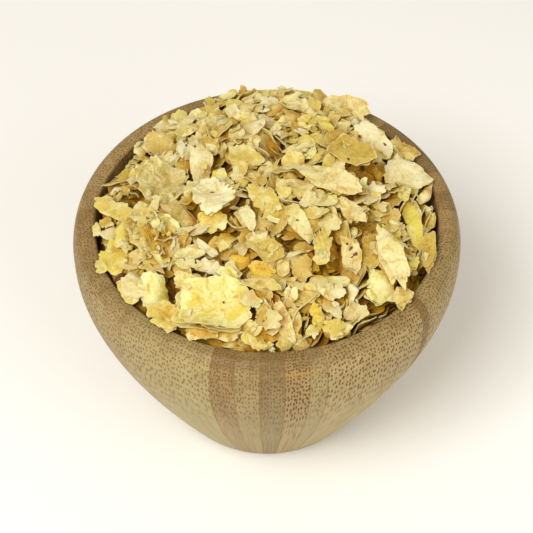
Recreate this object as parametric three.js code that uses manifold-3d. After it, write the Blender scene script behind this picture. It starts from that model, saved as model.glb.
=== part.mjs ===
// A turned bamboo bowl, heaped with chestnut flakes.
// Millimetres, +Z up, origin at the middle of the foot, -Y is the front.
//
// The bowl is one turned solid: a thick rounded lip over a wall that tapers to a small flat foot.
// The heap is one solid too: a mounded core, with the flakes that show fused onto it.

import * as THREE from 'three';
import { mergeVertices } from 'three/addons/utils/BufferGeometryUtils.js';
import Module from 'manifold-3d';

const wasm = await Module();
wasm.setup();

// ---- driving dimensions of the bowl ----
const HEIGHT = 81.4;
const WIDEST_RADIUS = 60;
const WIDEST_DROP = 8.6; // from the rim down to the widest ring
const RIM_INNER_RADIUS = 52.7;
const RIM_FLAT_OUTER_RADIUS = 56;
const RIM_INNER_ROUND = 1;
const FOOT_RADIUS = 31.8; // where the wall's line would meet the table
const FOOT_FLAT_RADIUS = 30.5;
const FOOT_ROUND_HEIGHT = 2;
const FLOOR_THICKNESS = 9;
const FLOOR_RADIUS = 20;
const AROUND = 64; // facets round the bowl
const LIP_STEPS = 5;

// Where the wall's curves are pulled to: out from the widest or the rim's inner radius, and up as a
// share of the widest ring's height or of the whole height.
const OUTER_PULL_LOW = { out: 2.75, up: 0.774 };
const OUTER_PULL_HIGH = { out: -0.2, up: 0.929 };
const INNER_PULL_HIGH = { out: 0, up: 0.66 };
const INNER_PULL_LOW = { out: -18, up: 0.21 };

// ---- driving dimensions of the heap ----
const GAP = 0.35; // clear space between the heap and the bowl
const CROWN = 13; // how far the heap's middle rises above its edge
const CROWN_POWER = 2.4; // a higher power makes a flatter top and a steeper edge
const EDGE_DROP = 2.5; // the heap's edge below the rim
const BACK_RISE = 2.5; // the heap stands this much higher at the back, and lower at the front
const CORE_DROP = 2.2; // the core's surface under the mean top of the flakes
const PROUD = 1.8; // a shown flake's middle above the core
const ROOT = 3.2; // a flake's underside reaches down this far at its middle, to join the core
const MOST_LIFT = 3; // a flake that reaches over the rim is lifted onto it by up to this much
const FLAKE_THICKNESS = 0.9;
const DEEPEST_TEAR = 0.22; // as a share of the way from the edge to the middle
const INNER_RING = 0.6; // the ring of corners inside a large flake's edge
const LARGE_FLAKE = 12.5; // a longer flake than this has a ring of corners more
const SMALL_FLAKES = 105;
const SMALL_LONGEST = 11;
const SMALL_SHORTEST = 5.5;
const SLIVER = 0.03; // finer detail than this is smoothed away
const FAN_ANGLE = 137.5; // degrees from one small flake to the next, so that they spread evenly

// The core's rings from its edge to its middle, as shares of its radius.
const CORE_RINGS = [0.985, 0.87, 0.7, 0.52, 0.34, 0.17, 0];
const CORE_AROUND = 36;

// Stretches of the heap's edge, by compass angle: at two it has slid down, so that the inner wall
// shows, and at the back it is heaped onto the rim. A stretch fades towards the middle.
const EDGE_STRETCHES = [
  { middle: 148, half: 30, rise: -3.5 },
  { middle: 8, half: 22, rise: -3 },
  { middle: 76, half: 28, rise: 2.5 },
];

// The flakes that stand out, largest first. across is +X, back is +Y; turn swings the long axis
// from +X; the top leans by lean degrees towards the compass angle faces (-90 is the front).
const SHOWN = [
  { across: 19, back: 6, length: 23, width: 10, turn: -19, faces: -95, lean: 8 },
  { across: 38, back: -20, length: 22, width: 8, turn: -68, faces: -130, lean: 18 },
  { across: 44, back: -5, length: 21, width: 7, turn: -80, faces: -170, lean: 15 },
  { across: -15, back: -38, length: 20, width: 17, turn: -10, faces: -92, lean: 12 },
  { across: -34, back: -14, length: 19, width: 16, turn: -46, faces: -95, lean: 8 },
  { across: -29, back: -4, length: 19, width: 7, turn: -47, faces: -110, lean: 15 },
  { across: -33, back: 8, length: 18, width: 15, turn: -41, faces: -100, lean: 15 },
  { across: 45, back: 13, length: 17, width: 11, turn: -10, faces: -150, lean: 6 },
  { across: 26, back: 21, length: 17, width: 10, turn: -37, faces: -100, lean: 10 },
  { across: -20, back: 8, length: 17, width: 8, turn: -82, faces: -60, lean: 18 },
  { across: 25, back: 45, length: 17, width: 11, turn: -19, faces: -95, lean: 6 },
  { across: 33, back: 26, length: 16, width: 10, turn: -44, faces: -75, lean: 18 },
  { across: -1, back: -3, length: 16, width: 8, turn: -52, faces: -110, lean: 10 },
  { across: 10, back: 2, length: 15, width: 7, turn: 11, faces: -90, lean: -8 },
  { across: -46, back: 3, length: 15, width: 7, turn: -31, faces: -130, lean: 12 },
  { across: 5, back: -43, length: 15, width: 5, turn: -73, faces: -110, lean: 25 },
  { across: -44, back: -16, length: 14, width: 11, turn: -50, faces: -110, lean: 12 },
  { across: 10, back: -13, length: 14, width: 7, turn: -65, faces: -120, lean: 15 },
  { across: 25, back: -21, length: 14, width: 7, turn: -84, faces: -90, lean: 12 },
  { across: 31, back: -19, length: 14, width: 6, turn: 87, faces: -60, lean: 15 },
  { across: -1, back: -32, length: 13, width: 6, turn: 2, faces: -90, lean: 35 },
  { across: -16, back: -4, length: 13, width: 12, turn: 52, faces: -95, lean: 15 },
  { across: -19, back: 35, length: 13, width: 6, turn: 9, faces: -100, lean: 20 },
  { across: -7, back: 15, length: 13, width: 11, turn: -66, faces: -90, lean: 8 },
  { across: -12, back: -46, length: 13, width: 5, turn: -13, faces: -95, lean: 30 },
  { across: 48, back: -12, length: 13, width: 5, turn: 83, faces: -150, lean: 20 },
  { across: -45, back: 13, length: 13, width: 8, turn: -27, faces: -140, lean: 30 },
  { across: 42, back: 30, length: 12, width: 8, turn: -44, faces: -60, lean: 12 },
  { across: 33, back: -29, length: 12, width: 9, turn: 69, faces: -70, lean: 20 },
  { across: -4, back: 51, length: 12, width: 6, turn: 7, faces: -90, lean: 3 },
  { across: 16, back: -18, length: 12, width: 6, turn: 85, faces: -90, lean: 20 },
  { across: 39, back: 7, length: 12, width: 6, turn: -88, faces: 180, lean: 40 },
  { across: 0, back: -21, length: 12, width: 9, turn: -34, faces: -90, lean: 8 },
  { across: -39, back: -27, length: 11, width: 9, turn: -48, faces: -120, lean: 15 },
  { across: 5, back: -33, length: 11, width: 5, turn: 6, faces: -80, lean: 30 },
  { across: -17, back: -28, length: 11, width: 6, turn: -29, faces: -100, lean: 12 },
  { across: -32, back: -31, length: 11, width: 10, turn: -53, faces: -110, lean: 20 },
  { across: 12, back: 52, length: 13, width: 4, turn: -12, faces: -90, lean: -2 },
  { across: 16, back: -33, length: 11, width: 6, turn: -61, faces: -110, lean: 20 },
  { across: 26, back: -6, length: 11, width: 8, turn: -57, faces: -120, lean: 12 },
  { across: -19, back: -44, length: 11, width: 6, turn: -17, faces: -100, lean: 25 },
  { across: -1, back: -29, length: 10, width: 6, turn: -6, faces: -90, lean: 20 },
  { across: -34, back: 29, length: 10, width: 9, turn: -73, faces: -100, lean: 15 },
  { across: 15, back: 30, length: 10, width: 7, turn: 1, faces: -90, lean: 12 },
  { across: -28, back: -39, length: 10, width: 9, turn: -37, faces: -100, lean: 20 },
  { across: 14, back: -41, length: 10, width: 4, turn: -81, faces: -90, lean: 30 },
  { across: -16, back: -12, length: 9, width: 9, turn: -63, faces: -95, lean: 18 },
  { across: 12, back: 22, length: 9, width: 6, turn: -5, faces: -90, lean: 10 },
  { across: 15, back: 42, length: 9, width: 6, turn: 88, faces: -30, lean: 25 },
  { across: 8, back: 47, length: 9, width: 6, turn: 30, faces: -80, lean: 15 },
  { across: 1, back: 32, length: 9, width: 6, turn: 0, faces: -90, lean: 10 },
  { across: -25, back: 20, length: 9, width: 5, turn: -73, faces: -110, lean: 25 },
  { across: 0, back: -44, length: 9, width: 8, turn: -60, faces: -95, lean: 35 },
  { across: 20, back: -42, length: 8, width: 6, turn: 16, faces: -70, lean: 35 },
  { across: 26, back: -37, length: 8, width: 7, turn: 29, faces: -70, lean: 25 },
  { across: 38, back: -30, length: 8, width: 7, turn: 31, faces: -50, lean: 25 },
  { across: -28, back: 40, length: 7, width: 6, turn: 83, faces: -60, lean: 45 },
];

const radians = THREE.MathUtils.degToRad;

// A repeatable stream of random numbers from 0 to 1.
function stream(seed) {
  let state = seed;
  return () => {
    state = (state + 0x6d2b79f5) | 0;
    let mixed = Math.imul(state ^ (state >>> 15), 1 | state);
    mixed = (mixed + Math.imul(mixed ^ (mixed >>> 7), 61 | mixed)) ^ mixed;
    return ((mixed ^ (mixed >>> 14)) >>> 0) / 2 ** 32;
  };
}

// ---- the bowl's outline ----

// The outer wall, from the foot up to the widest ring.
function outerWall() {
  const fall = HEIGHT - WIDEST_DROP;
  const wall = new THREE.CubicBezierCurve(
    new THREE.Vector2(FOOT_RADIUS, 0),
    new THREE.Vector2(WIDEST_RADIUS + OUTER_PULL_LOW.out, fall * OUTER_PULL_LOW.up),
    new THREE.Vector2(WIDEST_RADIUS + OUTER_PULL_HIGH.out, fall * OUTER_PULL_HIGH.up),
    new THREE.Vector2(WIDEST_RADIUS, fall),
  );
  return wall.getPoints(11).filter((point) => point.y > FOOT_ROUND_HEIGHT);
}

// The rounded edge of the foot, from its flat up to the wall.
function footEdge(wallStart) {
  const flat = new THREE.Vector2(FOOT_FLAT_RADIUS, 0);
  const corner = new THREE.Vector2(FOOT_RADIUS, 0);
  return new THREE.QuadraticBezierCurve(flat, corner, wallStart).getPoints(3).slice(0, -1);
}

// The lip's outer round, a quarter of an ellipse from the widest ring to the flat of the rim.
function lip() {
  const across = WIDEST_RADIUS - RIM_FLAT_OUTER_RADIUS;
  const points = [];
  for (let step = 1; step <= LIP_STEPS; step += 1) {
    const angle = radians(90 * step / LIP_STEPS);
    points.push(new THREE.Vector2(
      RIM_FLAT_OUTER_RADIUS + across * Math.cos(angle),
      HEIGHT - WIDEST_DROP + WIDEST_DROP * Math.sin(angle),
    ));
  }
  return points;
}

// The inner wall, from the rim down to the floor.
function innerWall() {
  const wall = new THREE.CubicBezierCurve(
    new THREE.Vector2(RIM_INNER_RADIUS, HEIGHT - RIM_INNER_ROUND),
    new THREE.Vector2(RIM_INNER_RADIUS + INNER_PULL_HIGH.out, HEIGHT * INNER_PULL_HIGH.up),
    new THREE.Vector2(RIM_INNER_RADIUS + INNER_PULL_LOW.out, HEIGHT * INNER_PULL_LOW.up),
    new THREE.Vector2(FLOOR_RADIUS, FLOOR_THICKNESS),
  );
  return wall.getPoints(8);
}

function turned(profile, segments) {
  const geometry = new THREE.LatheGeometry(profile, segments);
  geometry.rotateX(Math.PI / 2);
  return geometry;
}

function bowlGeometry() {
  const wall = outerWall();
  const profile = [
    new THREE.Vector2(0, 0),
    ...footEdge(wall[0]),
    ...wall,
    ...lip(),
    new THREE.Vector2(RIM_INNER_RADIUS + RIM_INNER_ROUND, HEIGHT),
    ...innerWall(),
    new THREE.Vector2(0, FLOOR_THICKNESS),
  ];
  return turned(profile, AROUND);
}

// The bowl's inside and rim grown by the gap, and taller than any flake: what the heap must clear.
function clearanceGeometry() {
  const reach = 1.2 * WIDEST_RADIUS;
  const inside = innerWall().map((point) => new THREE.Vector2(point.x - GAP, point.y + GAP));
  const profile = [
    new THREE.Vector2(0, -1),
    new THREE.Vector2(reach, -1),
    new THREE.Vector2(reach, HEIGHT + GAP),
    new THREE.Vector2(RIM_INNER_RADIUS - GAP, HEIGHT + GAP),
    ...inside.slice(1),
    new THREE.Vector2(0, FLOOR_THICKNESS + GAP),
  ];
  return turned(profile, AROUND);
}

// ---- the heap ----

// Height of the flakes' mean top over a place in the bowl.
function heapTop(x, y) {
  const share = Math.min(1, Math.hypot(x, y) / RIM_INNER_RADIUS);
  const compass = THREE.MathUtils.radToDeg(Math.atan2(y, x));
  let top = HEIGHT - EDGE_DROP + CROWN * (1 - share ** CROWN_POWER) + BACK_RISE * y / RIM_INNER_RADIUS;
  for (const stretch of EDGE_STRETCHES) {
    const away = THREE.MathUtils.euclideanModulo(compass - stretch.middle + 180, 360) - 180;
    top += stretch.rise * Math.exp(-((away / stretch.half) ** 2)) * share ** 4;
  }
  return top;
}

const coreTop = (x, y) => heapTop(x, y) - CORE_DROP;

// A closed solid from a geometry, with its shared corners merged and its empty triangles left out.
function solidFrom(geometry) {
  const bare = new THREE.BufferGeometry();
  bare.setAttribute('position', geometry.getAttribute('position').clone());
  bare.setIndex(geometry.getIndex());
  const merged = mergeVertices(bare, 1e-3);
  const corners = Array.from(merged.getIndex().array);
  const kept = [];
  for (let i = 0; i < corners.length; i += 3) {
    const [a, b, c] = corners.slice(i, i + 3);
    if (a !== b && b !== c && c !== a) kept.push(a, b, c);
  }
  return new wasm.Manifold(new wasm.Mesh({
    numProp: 3,
    vertProperties: Float32Array.from(merged.getAttribute('position').array),
    triVerts: Uint32Array.from(kept),
  }));
}

function geometryFrom(solid) {
  const mesh = solid.getMesh();
  const geometry = new THREE.BufferGeometry();
  geometry.setAttribute('position', new THREE.BufferAttribute(mesh.vertProperties, mesh.numProp));
  geometry.setIndex(new THREE.BufferAttribute(mesh.triVerts, 1));
  return geometry;
}

// The core fills the bowl and mounds up under the flakes.
function coreGeometry() {
  const wall = innerWall().slice(2).reverse();
  const edgeRadius = RIM_INNER_RADIUS - 2 * GAP;
  const profile = [
    new THREE.Vector2(0, FLOOR_THICKNESS + 2 * GAP),
    ...wall.map((point) => new THREE.Vector2(point.x - 2 * GAP, point.y + 2 * GAP)),
    ...CORE_RINGS.map((ring) => new THREE.Vector2(edgeRadius * ring, HEIGHT)),
  ];
  const geometry = turned(profile, CORE_AROUND);
  const place = geometry.getAttribute('position');
  for (let i = 0; i < place.count; i += 1) {
    if (place.getZ(i) > HEIGHT - GAP) place.setZ(i, coreTop(place.getX(i), place.getY(i)));
  }
  return geometry;
}

// One flake: a thin torn plate, wavy and a little curled, with a root under its middle.
// A large flake has a ring of corners inside its edge, and a blunt edge.
function flakeGeometry(flake, random) {
  const large = flake.length > LARGE_FLAKE;
  const sides = Math.round(THREE.MathUtils.clamp(flake.length * 0.3 + 4, 6, 10));
  const swell = [2 * Math.PI * random(), 2 * Math.PI * random()];
  const curl = (0.5 + random()) * 0.05 / Math.sqrt(flake.length);
  const wave = flake.length * (0.015 + 0.02 * random());
  const tear = Array.from({ length: sides }, () => 1 - DEEPEST_TEAR * random());
  const rise = (u, v) => wave * Math.sin(u * 0.7 + swell[0]) - curl * (v * v + 0.3 * u * u);
  const corners = [];
  const addRing = (ring, level) => {
    for (let side = 0; side < sides; side += 1) {
      const angle = 2 * Math.PI * side / sides;
      const bulge = 1 + 0.1 * Math.sin(2 * angle + swell[0]) + 0.08 * Math.sin(3 * angle + swell[1]);
      const u = flake.length / 2 * ring * bulge * tear[side] * Math.cos(angle);
      const v = flake.width / 2 * ring * bulge * tear[side] * Math.sin(angle);
      corners.push(u, v, rise(u, v) + level);
    }
  };
  const half = FLAKE_THICKNESS / 2;
  corners.push(0, 0, rise(0, 0) + half);
  if (large) addRing(INNER_RING, half);
  addRing(1, large ? half : 0);
  if (large) addRing(1, -half);
  corners.push(0, 0, rise(0, 0) - ROOT);
  const rings = large ? 3 : 1;
  const bottom = 1 + rings * sides;
  const triangles = [];
  for (let side = 0; side < sides; side += 1) {
    const next = (side + 1) % sides;
    triangles.push(0, 1 + side, 1 + next);
    for (let ring = 1; ring < rings; ring += 1) {
      const inner = 1 + (ring - 1) * sides;
      const outer = inner + sides;
      triangles.push(inner + side, outer + side, outer + next);
      triangles.push(inner + side, outer + next, inner + next);
    }
    triangles.push(bottom, bottom - sides + next, bottom - sides + side);
  }
  const geometry = new THREE.BufferGeometry();
  geometry.setAttribute('position', new THREE.Float32BufferAttribute(corners, 3));
  geometry.setIndex(triangles);
  const lean = radians(flake.lean);
  const faces = radians(flake.faces);
  const up = new THREE.Vector3(
    Math.sin(lean) * Math.cos(faces), Math.sin(lean) * Math.sin(faces), Math.cos(lean));
  geometry.rotateZ(radians(flake.turn));
  geometry.applyQuaternion(new THREE.Quaternion().setFromUnitVectors(new THREE.Vector3(0, 0, 1), up));
  geometry.translate(flake.across, flake.back, coreTop(flake.across, flake.back) + flake.proud);
  return geometry;
}

// Small flakes for the ground between the large ones, spread evenly like seeds in a sunflower.
function smallFlakes(random) {
  const flakes = [];
  const outermost = RIM_INNER_RADIUS - SMALL_SHORTEST / 2;
  for (let count = 0; count < SMALL_FLAKES; count += 1) {
    const radius = outermost * Math.sqrt((count + 0.5) / SMALL_FLAKES);
    const compass = radians(FAN_ANGLE * count) + 0.2 * random();
    const length = SMALL_SHORTEST + (SMALL_LONGEST - SMALL_SHORTEST) * random() ** 1.6;
    flakes.push({
      across: radius * Math.cos(compass),
      back: radius * Math.sin(compass),
      length,
      width: length * (0.5 + 0.4 * random()),
      turn: 180 * random(),
      faces: 360 * random(),
      lean: 15 + 40 * random(),
      proud: 0.6 + 1.2 * random(),
    });
  }
  return flakes.sort((a, b) => b.length - a.length);
}

// A flake that reaches a little too low over the rim is lifted until it lies on it.
function laidOnRim(geometry) {
  const place = geometry.getAttribute('position');
  let lift = 0;
  for (let i = 0; i < place.count; i += 1) {
    const overRim = Math.hypot(place.getX(i), place.getY(i)) > RIM_INNER_RADIUS - GAP;
    if (overRim) lift = Math.max(lift, HEIGHT + GAP - place.getZ(i));
  }
  return lift < MOST_LIFT ? geometry.translate(0, 0, lift) : geometry;
}

function heapGeometry() {
  const random = stream(20261);
  const shown = SHOWN.map((flake) => ({ ...flake, proud: PROUD }));
  let heap = solidFrom(coreGeometry());
  for (const flake of [...shown, ...smallFlakes(random)]) {
    heap = heap.add(solidFrom(laidOnRim(flakeGeometry(flake, random))));
  }
  heap = heap.subtract(solidFrom(clearanceGeometry()));
  const bodies = heap.decompose().sort((a, b) => b.volume() - a.volume());
  return geometryFrom(bodies[0].simplify(SLIVER));
}

// ---- materials and scene ----

const bamboo = new THREE.MeshStandardMaterial({ color: 0xb19a6b, roughness: 0.55, metalness: 0 });
const flakeSurface = new THREE.MeshStandardMaterial({ color: 0xe4d18a, roughness: 0.8, metalness: 0 });

function named(name, geometry, material) {
  const mesh = new THREE.Mesh(geometry, material);
  mesh.name = name;
  return mesh;
}

const group = new THREE.Group();
group.add(named('bowl', bowlGeometry(), bamboo));
group.add(named('chestnut_flakes', heapGeometry(), flakeSurface));

export default group;
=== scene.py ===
# %% [markdown]
# # A bamboo bowl heaped with chestnut flakes
# The bowl and the heap arrive as a fixed frame: plain solids at their real size, in metres, with the
# origin in the middle of the foot and -Y as the front. This lesson dresses them. The bowl is turned
# again with a finer section and a bamboo finish. The heap is built as it is in life: flakes are made
# one by one, dropped on a mound, and each comes to rest on the flakes below it.

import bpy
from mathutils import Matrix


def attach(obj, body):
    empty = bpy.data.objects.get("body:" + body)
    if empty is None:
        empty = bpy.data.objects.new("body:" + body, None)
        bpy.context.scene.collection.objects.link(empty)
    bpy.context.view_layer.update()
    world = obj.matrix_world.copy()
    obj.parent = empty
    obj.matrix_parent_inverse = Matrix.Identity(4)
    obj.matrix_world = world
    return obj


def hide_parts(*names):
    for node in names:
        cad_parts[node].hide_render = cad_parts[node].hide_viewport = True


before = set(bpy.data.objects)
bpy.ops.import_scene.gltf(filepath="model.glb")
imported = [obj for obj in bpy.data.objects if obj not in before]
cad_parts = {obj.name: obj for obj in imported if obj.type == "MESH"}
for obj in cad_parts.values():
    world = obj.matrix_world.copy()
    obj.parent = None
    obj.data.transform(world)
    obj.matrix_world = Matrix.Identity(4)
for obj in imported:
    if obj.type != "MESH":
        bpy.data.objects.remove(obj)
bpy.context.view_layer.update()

# %% Libraries
import math
import bmesh
import bpy
import numpy as np
from mathutils import Matrix, Vector, geometry

rng = np.random.default_rng(2026)
print("Blender", bpy.app.version_string)

# %% [markdown]
# ## Sizes
# Everything is thought out in millimetres and turned to metres only when a mesh is made. The bowl's
# section is the same as in the frame: a foot, one long curve up to the widest ring, a rounded lip, a
# flat rim and an inner wall.

# %% Sizes in millimetres
HEIGHT = 81.4
WIDEST_RADIUS = 60.0
WIDEST_DROP = 8.6
RIM_INNER_RADIUS = 52.7
RIM_FLAT_OUTER_RADIUS = 56.0
RIM_INNER_ROUND = 1.0
FOOT_RADIUS = 31.8
FOOT_FLAT_RADIUS = 30.5
FOOT_ROUND_HEIGHT = 2.0
UNDERSIDE_RING = 15.0
FLOOR_THICKNESS = 9.0
FLOOR_RADIUS = 20.0
TO_METRES = 0.001
print("bowl:", 2 * WIDEST_RADIUS, "mm across,", HEIGHT, "mm tall")

# %% [markdown]
# ## Small helpers
# Colours are picked as sRGB hex values, as in any paint program, while shaders work in linear light, so
# one function turns them. Another fills a shader node's inputs, each with a number, a hex colour, another
# node (its first output) or one output of a node: as a list in their order, or by name or number. The
# third adds a node, sets it up and fills it in one line. A Mix node has sockets for each type of value,
# so for colours its inputs are 0, 6 and 7 and its output is 2.

# %% Helpers for colours and shader nodes
def linear(hex_value):
    """An sRGB hex colour such as "#e4d18a" as linear RGBA."""
    channels = [int(hex_value[i:i + 2], 16) / 255 for i in (1, 3, 5)]
    turned = [c / 12.92 if c <= 0.04045 else ((c + 0.055) / 1.055) ** 2.4 for c in channels]
    return (*turned, 1.0)


def put(tree, node, inputs):
    """Sets or links a node's inputs."""
    for key, value in inputs.items() if isinstance(inputs, dict) else enumerate(inputs):
        if isinstance(value, bpy.types.Node):
            value = value.outputs[0]
        if isinstance(value, bpy.types.NodeSocket):
            tree.links.new(value, node.inputs[key])
        else:
            node.inputs[key].default_value = linear(value) if isinstance(value, str) else value


def add(tree, kind, inputs=(), stops=(), **settings):
    """Adds a shader node of a kind such as "Math", with its settings, ramp stops and inputs."""
    node = tree.nodes.new("ShaderNode" + kind)
    for name, value in settings.items():
        setattr(node, name, value)
    for index, (place, colour) in enumerate(stops):
        elements = node.color_ramp.elements
        element = elements[index] if index < len(elements) else elements.new(place)
        element.position = place
        element.color = linear(colour)
    put(tree, node, inputs)
    return node


def new_material(name):
    """An empty material with its Principled shader, as (material, node tree, shader)."""
    material = bpy.data.materials.new(name)
    material.use_nodes = True
    tree = material.node_tree
    return material, tree, tree.nodes["Principled BSDF"]


print("a middle grey is", round(linear("#808080")[0], 3), "in linear light")


# %% Helpers for meshes and pieces
def spun(points, steps):
    """A row of points, joined by edges and spun a full turn round the upright axis, as a bmesh."""
    bm = bmesh.new()
    row = [bm.verts.new(point) for point in points]
    for near, far in zip(row, row[1:]):
        bm.edges.new((near, far))
    bmesh.ops.spin(bm, geom=bm.verts[:] + bm.edges[:], cent=(0, 0, 0), axis=(0, 0, 1),
                   angle=2 * math.pi, steps=steps, use_merge=True)
    bmesh.ops.remove_doubles(bm, verts=bm.verts, dist=1e-4)
    bmesh.ops.recalc_face_normals(bm, faces=bm.faces)
    return bm


def smooth_mesh(bm, name):
    """Turns a bmesh in millimetres into a smooth mesh in metres."""
    for face in bm.faces:
        face.smooth = True
    bmesh.ops.scale(bm, vec=(TO_METRES,) * 3, verts=bm.verts)
    mesh = bpy.data.meshes.new(name)
    bm.to_mesh(mesh)
    bm.free()
    return mesh


def into_scene(name, data):
    """A new object in the scene, at the origin."""
    thing = bpy.data.objects.new(name, data)
    bpy.context.scene.collection.objects.link(thing)
    return thing


def finish_piece(mesh, name, material, node_name):
    """Puts a mesh in the scene, in its material, in place of the frame's solid."""
    piece = into_scene(name, mesh)
    mesh.materials.append(material)
    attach(piece, "root")
    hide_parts(node_name)
    mesh.calc_loop_triangles()
    print(f"{name}: {len(mesh.vertices)} points, {len(mesh.loop_triangles)} triangles")


# %% [markdown]
# ## The camera
# The photograph looks down on the bowl at 47.5 degrees from about half a metre. The lens and a small
# shift place the bowl in the square picture as it was framed. The camera comes early, because it is the
# measure of everything else.

# %% Camera
PICTURE_SIDE = 533
FOCAL_PIXELS = 1607.25
AIM_PIXEL = Vector((266.9, 234.98))
AIM_HEIGHT = HEIGHT - WIDEST_DROP
VIEW_DISTANCE = 500.0
VIEW_ELEVATION = math.radians(47.487)
SENSOR = 36.0

camera_data = bpy.data.cameras.new("camera")
camera_data.sensor_width = SENSOR
camera_data.lens = FOCAL_PIXELS / PICTURE_SIDE * SENSOR
camera_data.shift_x = (PICTURE_SIDE / 2 - AIM_PIXEL.x) / PICTURE_SIDE
camera_data.shift_y = (AIM_PIXEL.y - PICTURE_SIDE / 2) / PICTURE_SIDE
camera_data.clip_start = 0.01
camera = into_scene("camera", camera_data)
AIM = Vector((0, 0, AIM_HEIGHT))
EYE = AIM + VIEW_DISTANCE * Vector((0, -math.cos(VIEW_ELEVATION), math.sin(VIEW_ELEVATION)))
camera.location = EYE * TO_METRES
camera.rotation_euler = (math.pi / 2 - VIEW_ELEVATION, 0, 0)
bpy.context.scene.camera = camera
print("camera at", tuple(round(c, 4) for c in camera.location), "lens", round(camera_data.lens, 2))

# %% [markdown]
# ## Floor and light
# A product shot on white: a pale floor, a big soft light high on the left, a weak fill from the right and
# a bright surround. The bowl's wall is lit from below too, by light that the floor throws back. Colours
# are shown as they are, without a film look, so that a picked colour can be compared with the photograph.

# %% Floor
FLOOR_HALF = 1.5

floor_mesh = bpy.data.meshes.new("floor")
bm = bmesh.new()
bmesh.ops.create_grid(bm, x_segments=1, y_segments=1, size=FLOOR_HALF)
bm.to_mesh(floor_mesh)
bm.free()
floor = into_scene("floor", floor_mesh)
floor_paint, floor_tree, floor_shader = new_material("matt white backdrop paper")
put(floor_tree, floor_shader, {"Base Color": "#f2f3f4", "Roughness": 0.9})
floor_mesh.materials.append(floor_paint)
print("floor:", 2 * FLOOR_HALF, "m across")


# %% Lights
LIT_POINT = Vector((0, 0, 0.06))
LAMP_COLOUR = "#fffdf8"


def softbox(name, place, side, watts):
    """A square soft light that points at the heap; place and side in metres."""
    data = bpy.data.lights.new(name, "AREA")
    data.shape = "SQUARE"
    data.size = side
    data.energy = watts
    data.color = linear(LAMP_COLOUR)[:3]
    lamp = into_scene(name, data)
    lamp.location = place
    lamp.rotation_euler = (LIT_POINT - Vector(place)).to_track_quat("-Z", "Y").to_euler()
    print(f"{name}: {side} m square, {watts} W")


softbox("key", (-0.34, -0.50, 0.85), 0.45, 7.7)
softbox("fill", (0.60, -0.60, 0.60), 0.70, 2.8)
world = bpy.data.worlds.new("studio surround")
bpy.context.scene.world = world
world.use_nodes = True
put(world.node_tree, world.node_tree.nodes["Background"], ["#fff5e2", 0.56])
bpy.context.scene.view_settings.view_transform = "Standard"

# %% [markdown]
# ## The bowl's shape
# A bowl like this is glued up from bamboo staves and turned on a lathe, so spinning one section round
# the axis is how the real one got its shape. The section is drawn as edges and spun in one-degree steps:
# the joints between staves then fall on the mesh's own meridians, which the grain needs later.

# %% The bowl's section
# The two middle corners of each wall's curve: how far out of line with its top, and at which share of
# its height.
OUTER_PULLS = [(2.75, 0.774), (-0.2, 0.929)]
INNER_PULLS = [(0, 0.66), (-18, 0.21)]
OUTER_STEPS = 60
INNER_STEPS = 30
ROUND_STEPS = 8
LIP_STEPS = 24


def curve_points(knots, steps):
    """Points on a Bezier curve with four corners."""
    corners = [Vector((x, 0, z)) for x, z in knots]
    points = geometry.interpolate_bezier(*corners, steps + 1)
    return [(point.x, point.z) for point in points]


def arc_points(centre, radii, start, end, steps):
    """Points on an ellipse's arc, from start to end degrees."""
    angles = [math.radians(start + (end - start) * step / steps) for step in range(steps + 1)]
    return [(centre[0] + radii[0] * math.cos(a), centre[1] + radii[1] * math.sin(a)) for a in angles]


def bowl_section():
    fall = HEIGHT - WIDEST_DROP
    pulls = [(WIDEST_RADIUS + out, fall * share) for out, share in OUTER_PULLS]
    wall = curve_points([(FOOT_RADIUS, 0), *pulls, (WIDEST_RADIUS, fall)], OUTER_STEPS)
    wall = [point for point in wall if point[1] > FOOT_ROUND_HEIGHT]
    corner = (FOOT_RADIUS, 0)
    flat = (FOOT_FLAT_RADIUS, 0)
    low = tuple(a / 3 + b * 2 / 3 for a, b in zip(flat, corner))
    high = tuple(a / 3 + b * 2 / 3 for a, b in zip(wall[0], corner))
    foot = curve_points([flat, low, high, wall[0]], ROUND_STEPS)[:-1]
    lip_across = WIDEST_RADIUS - RIM_FLAT_OUTER_RADIUS
    lip = arc_points((RIM_FLAT_OUTER_RADIUS, fall), (lip_across, WIDEST_DROP), 0, 90, LIP_STEPS)[1:]
    turn = arc_points((RIM_INNER_RADIUS + RIM_INNER_ROUND, HEIGHT - RIM_INNER_ROUND),
                      (RIM_INNER_ROUND, RIM_INNER_ROUND), 90, 180, ROUND_STEPS)
    pulls = [(RIM_INNER_RADIUS + out, HEIGHT * share) for out, share in INNER_PULLS]
    inner = curve_points([(RIM_INNER_RADIUS, HEIGHT - RIM_INNER_ROUND), *pulls,
                          (FLOOR_RADIUS, FLOOR_THICKNESS)], INNER_STEPS)
    return [(0, 0), (UNDERSIDE_RING, 0), *foot, *wall, *lip, *turn, *inner[1:], (0, FLOOR_THICKNESS)]


section = bowl_section()
print("section points:", len(section), "widest:", round(max(r for r, z in section), 3))

# %% Turn the bowl
MERIDIANS = 360

bm = spun([(0, -radius, z) for radius, z in section], MERIDIANS)
print("bowl faces:", len(bm.faces), "closed:", all(len(edge.link_faces) == 2 for edge in bm.edges))

# %% [markdown]
# ## The staves
# The glue lines run straight up the wall, and between them every stave shows its own tone and its own
# pattern of fibre ends. The fibres stand nearly upright and lean inwards, as steep as the wall. Where the
# rim cuts across them they show as dots, and down the wall, which runs along them, as long streaks. So
# each stave gets a map of the plane square to its fibres. A pattern drawn in that plane and carried
# along the fibres is real end grain on the rim and long grain on the wall.

# %% Staves
# Where one stave ends and the next begins, in degrees from the front, to the right.
STAVE_EDGES = [-46, -16, -9, -2, 5, 12, 17, 50, 53, 84, 93, 101, 110, 137, 146, 169, 176, 184, 192,
               221, 230, 252, 259, 267, 290, 302]
FIBRE_LEAN = math.radians(27)
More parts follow.
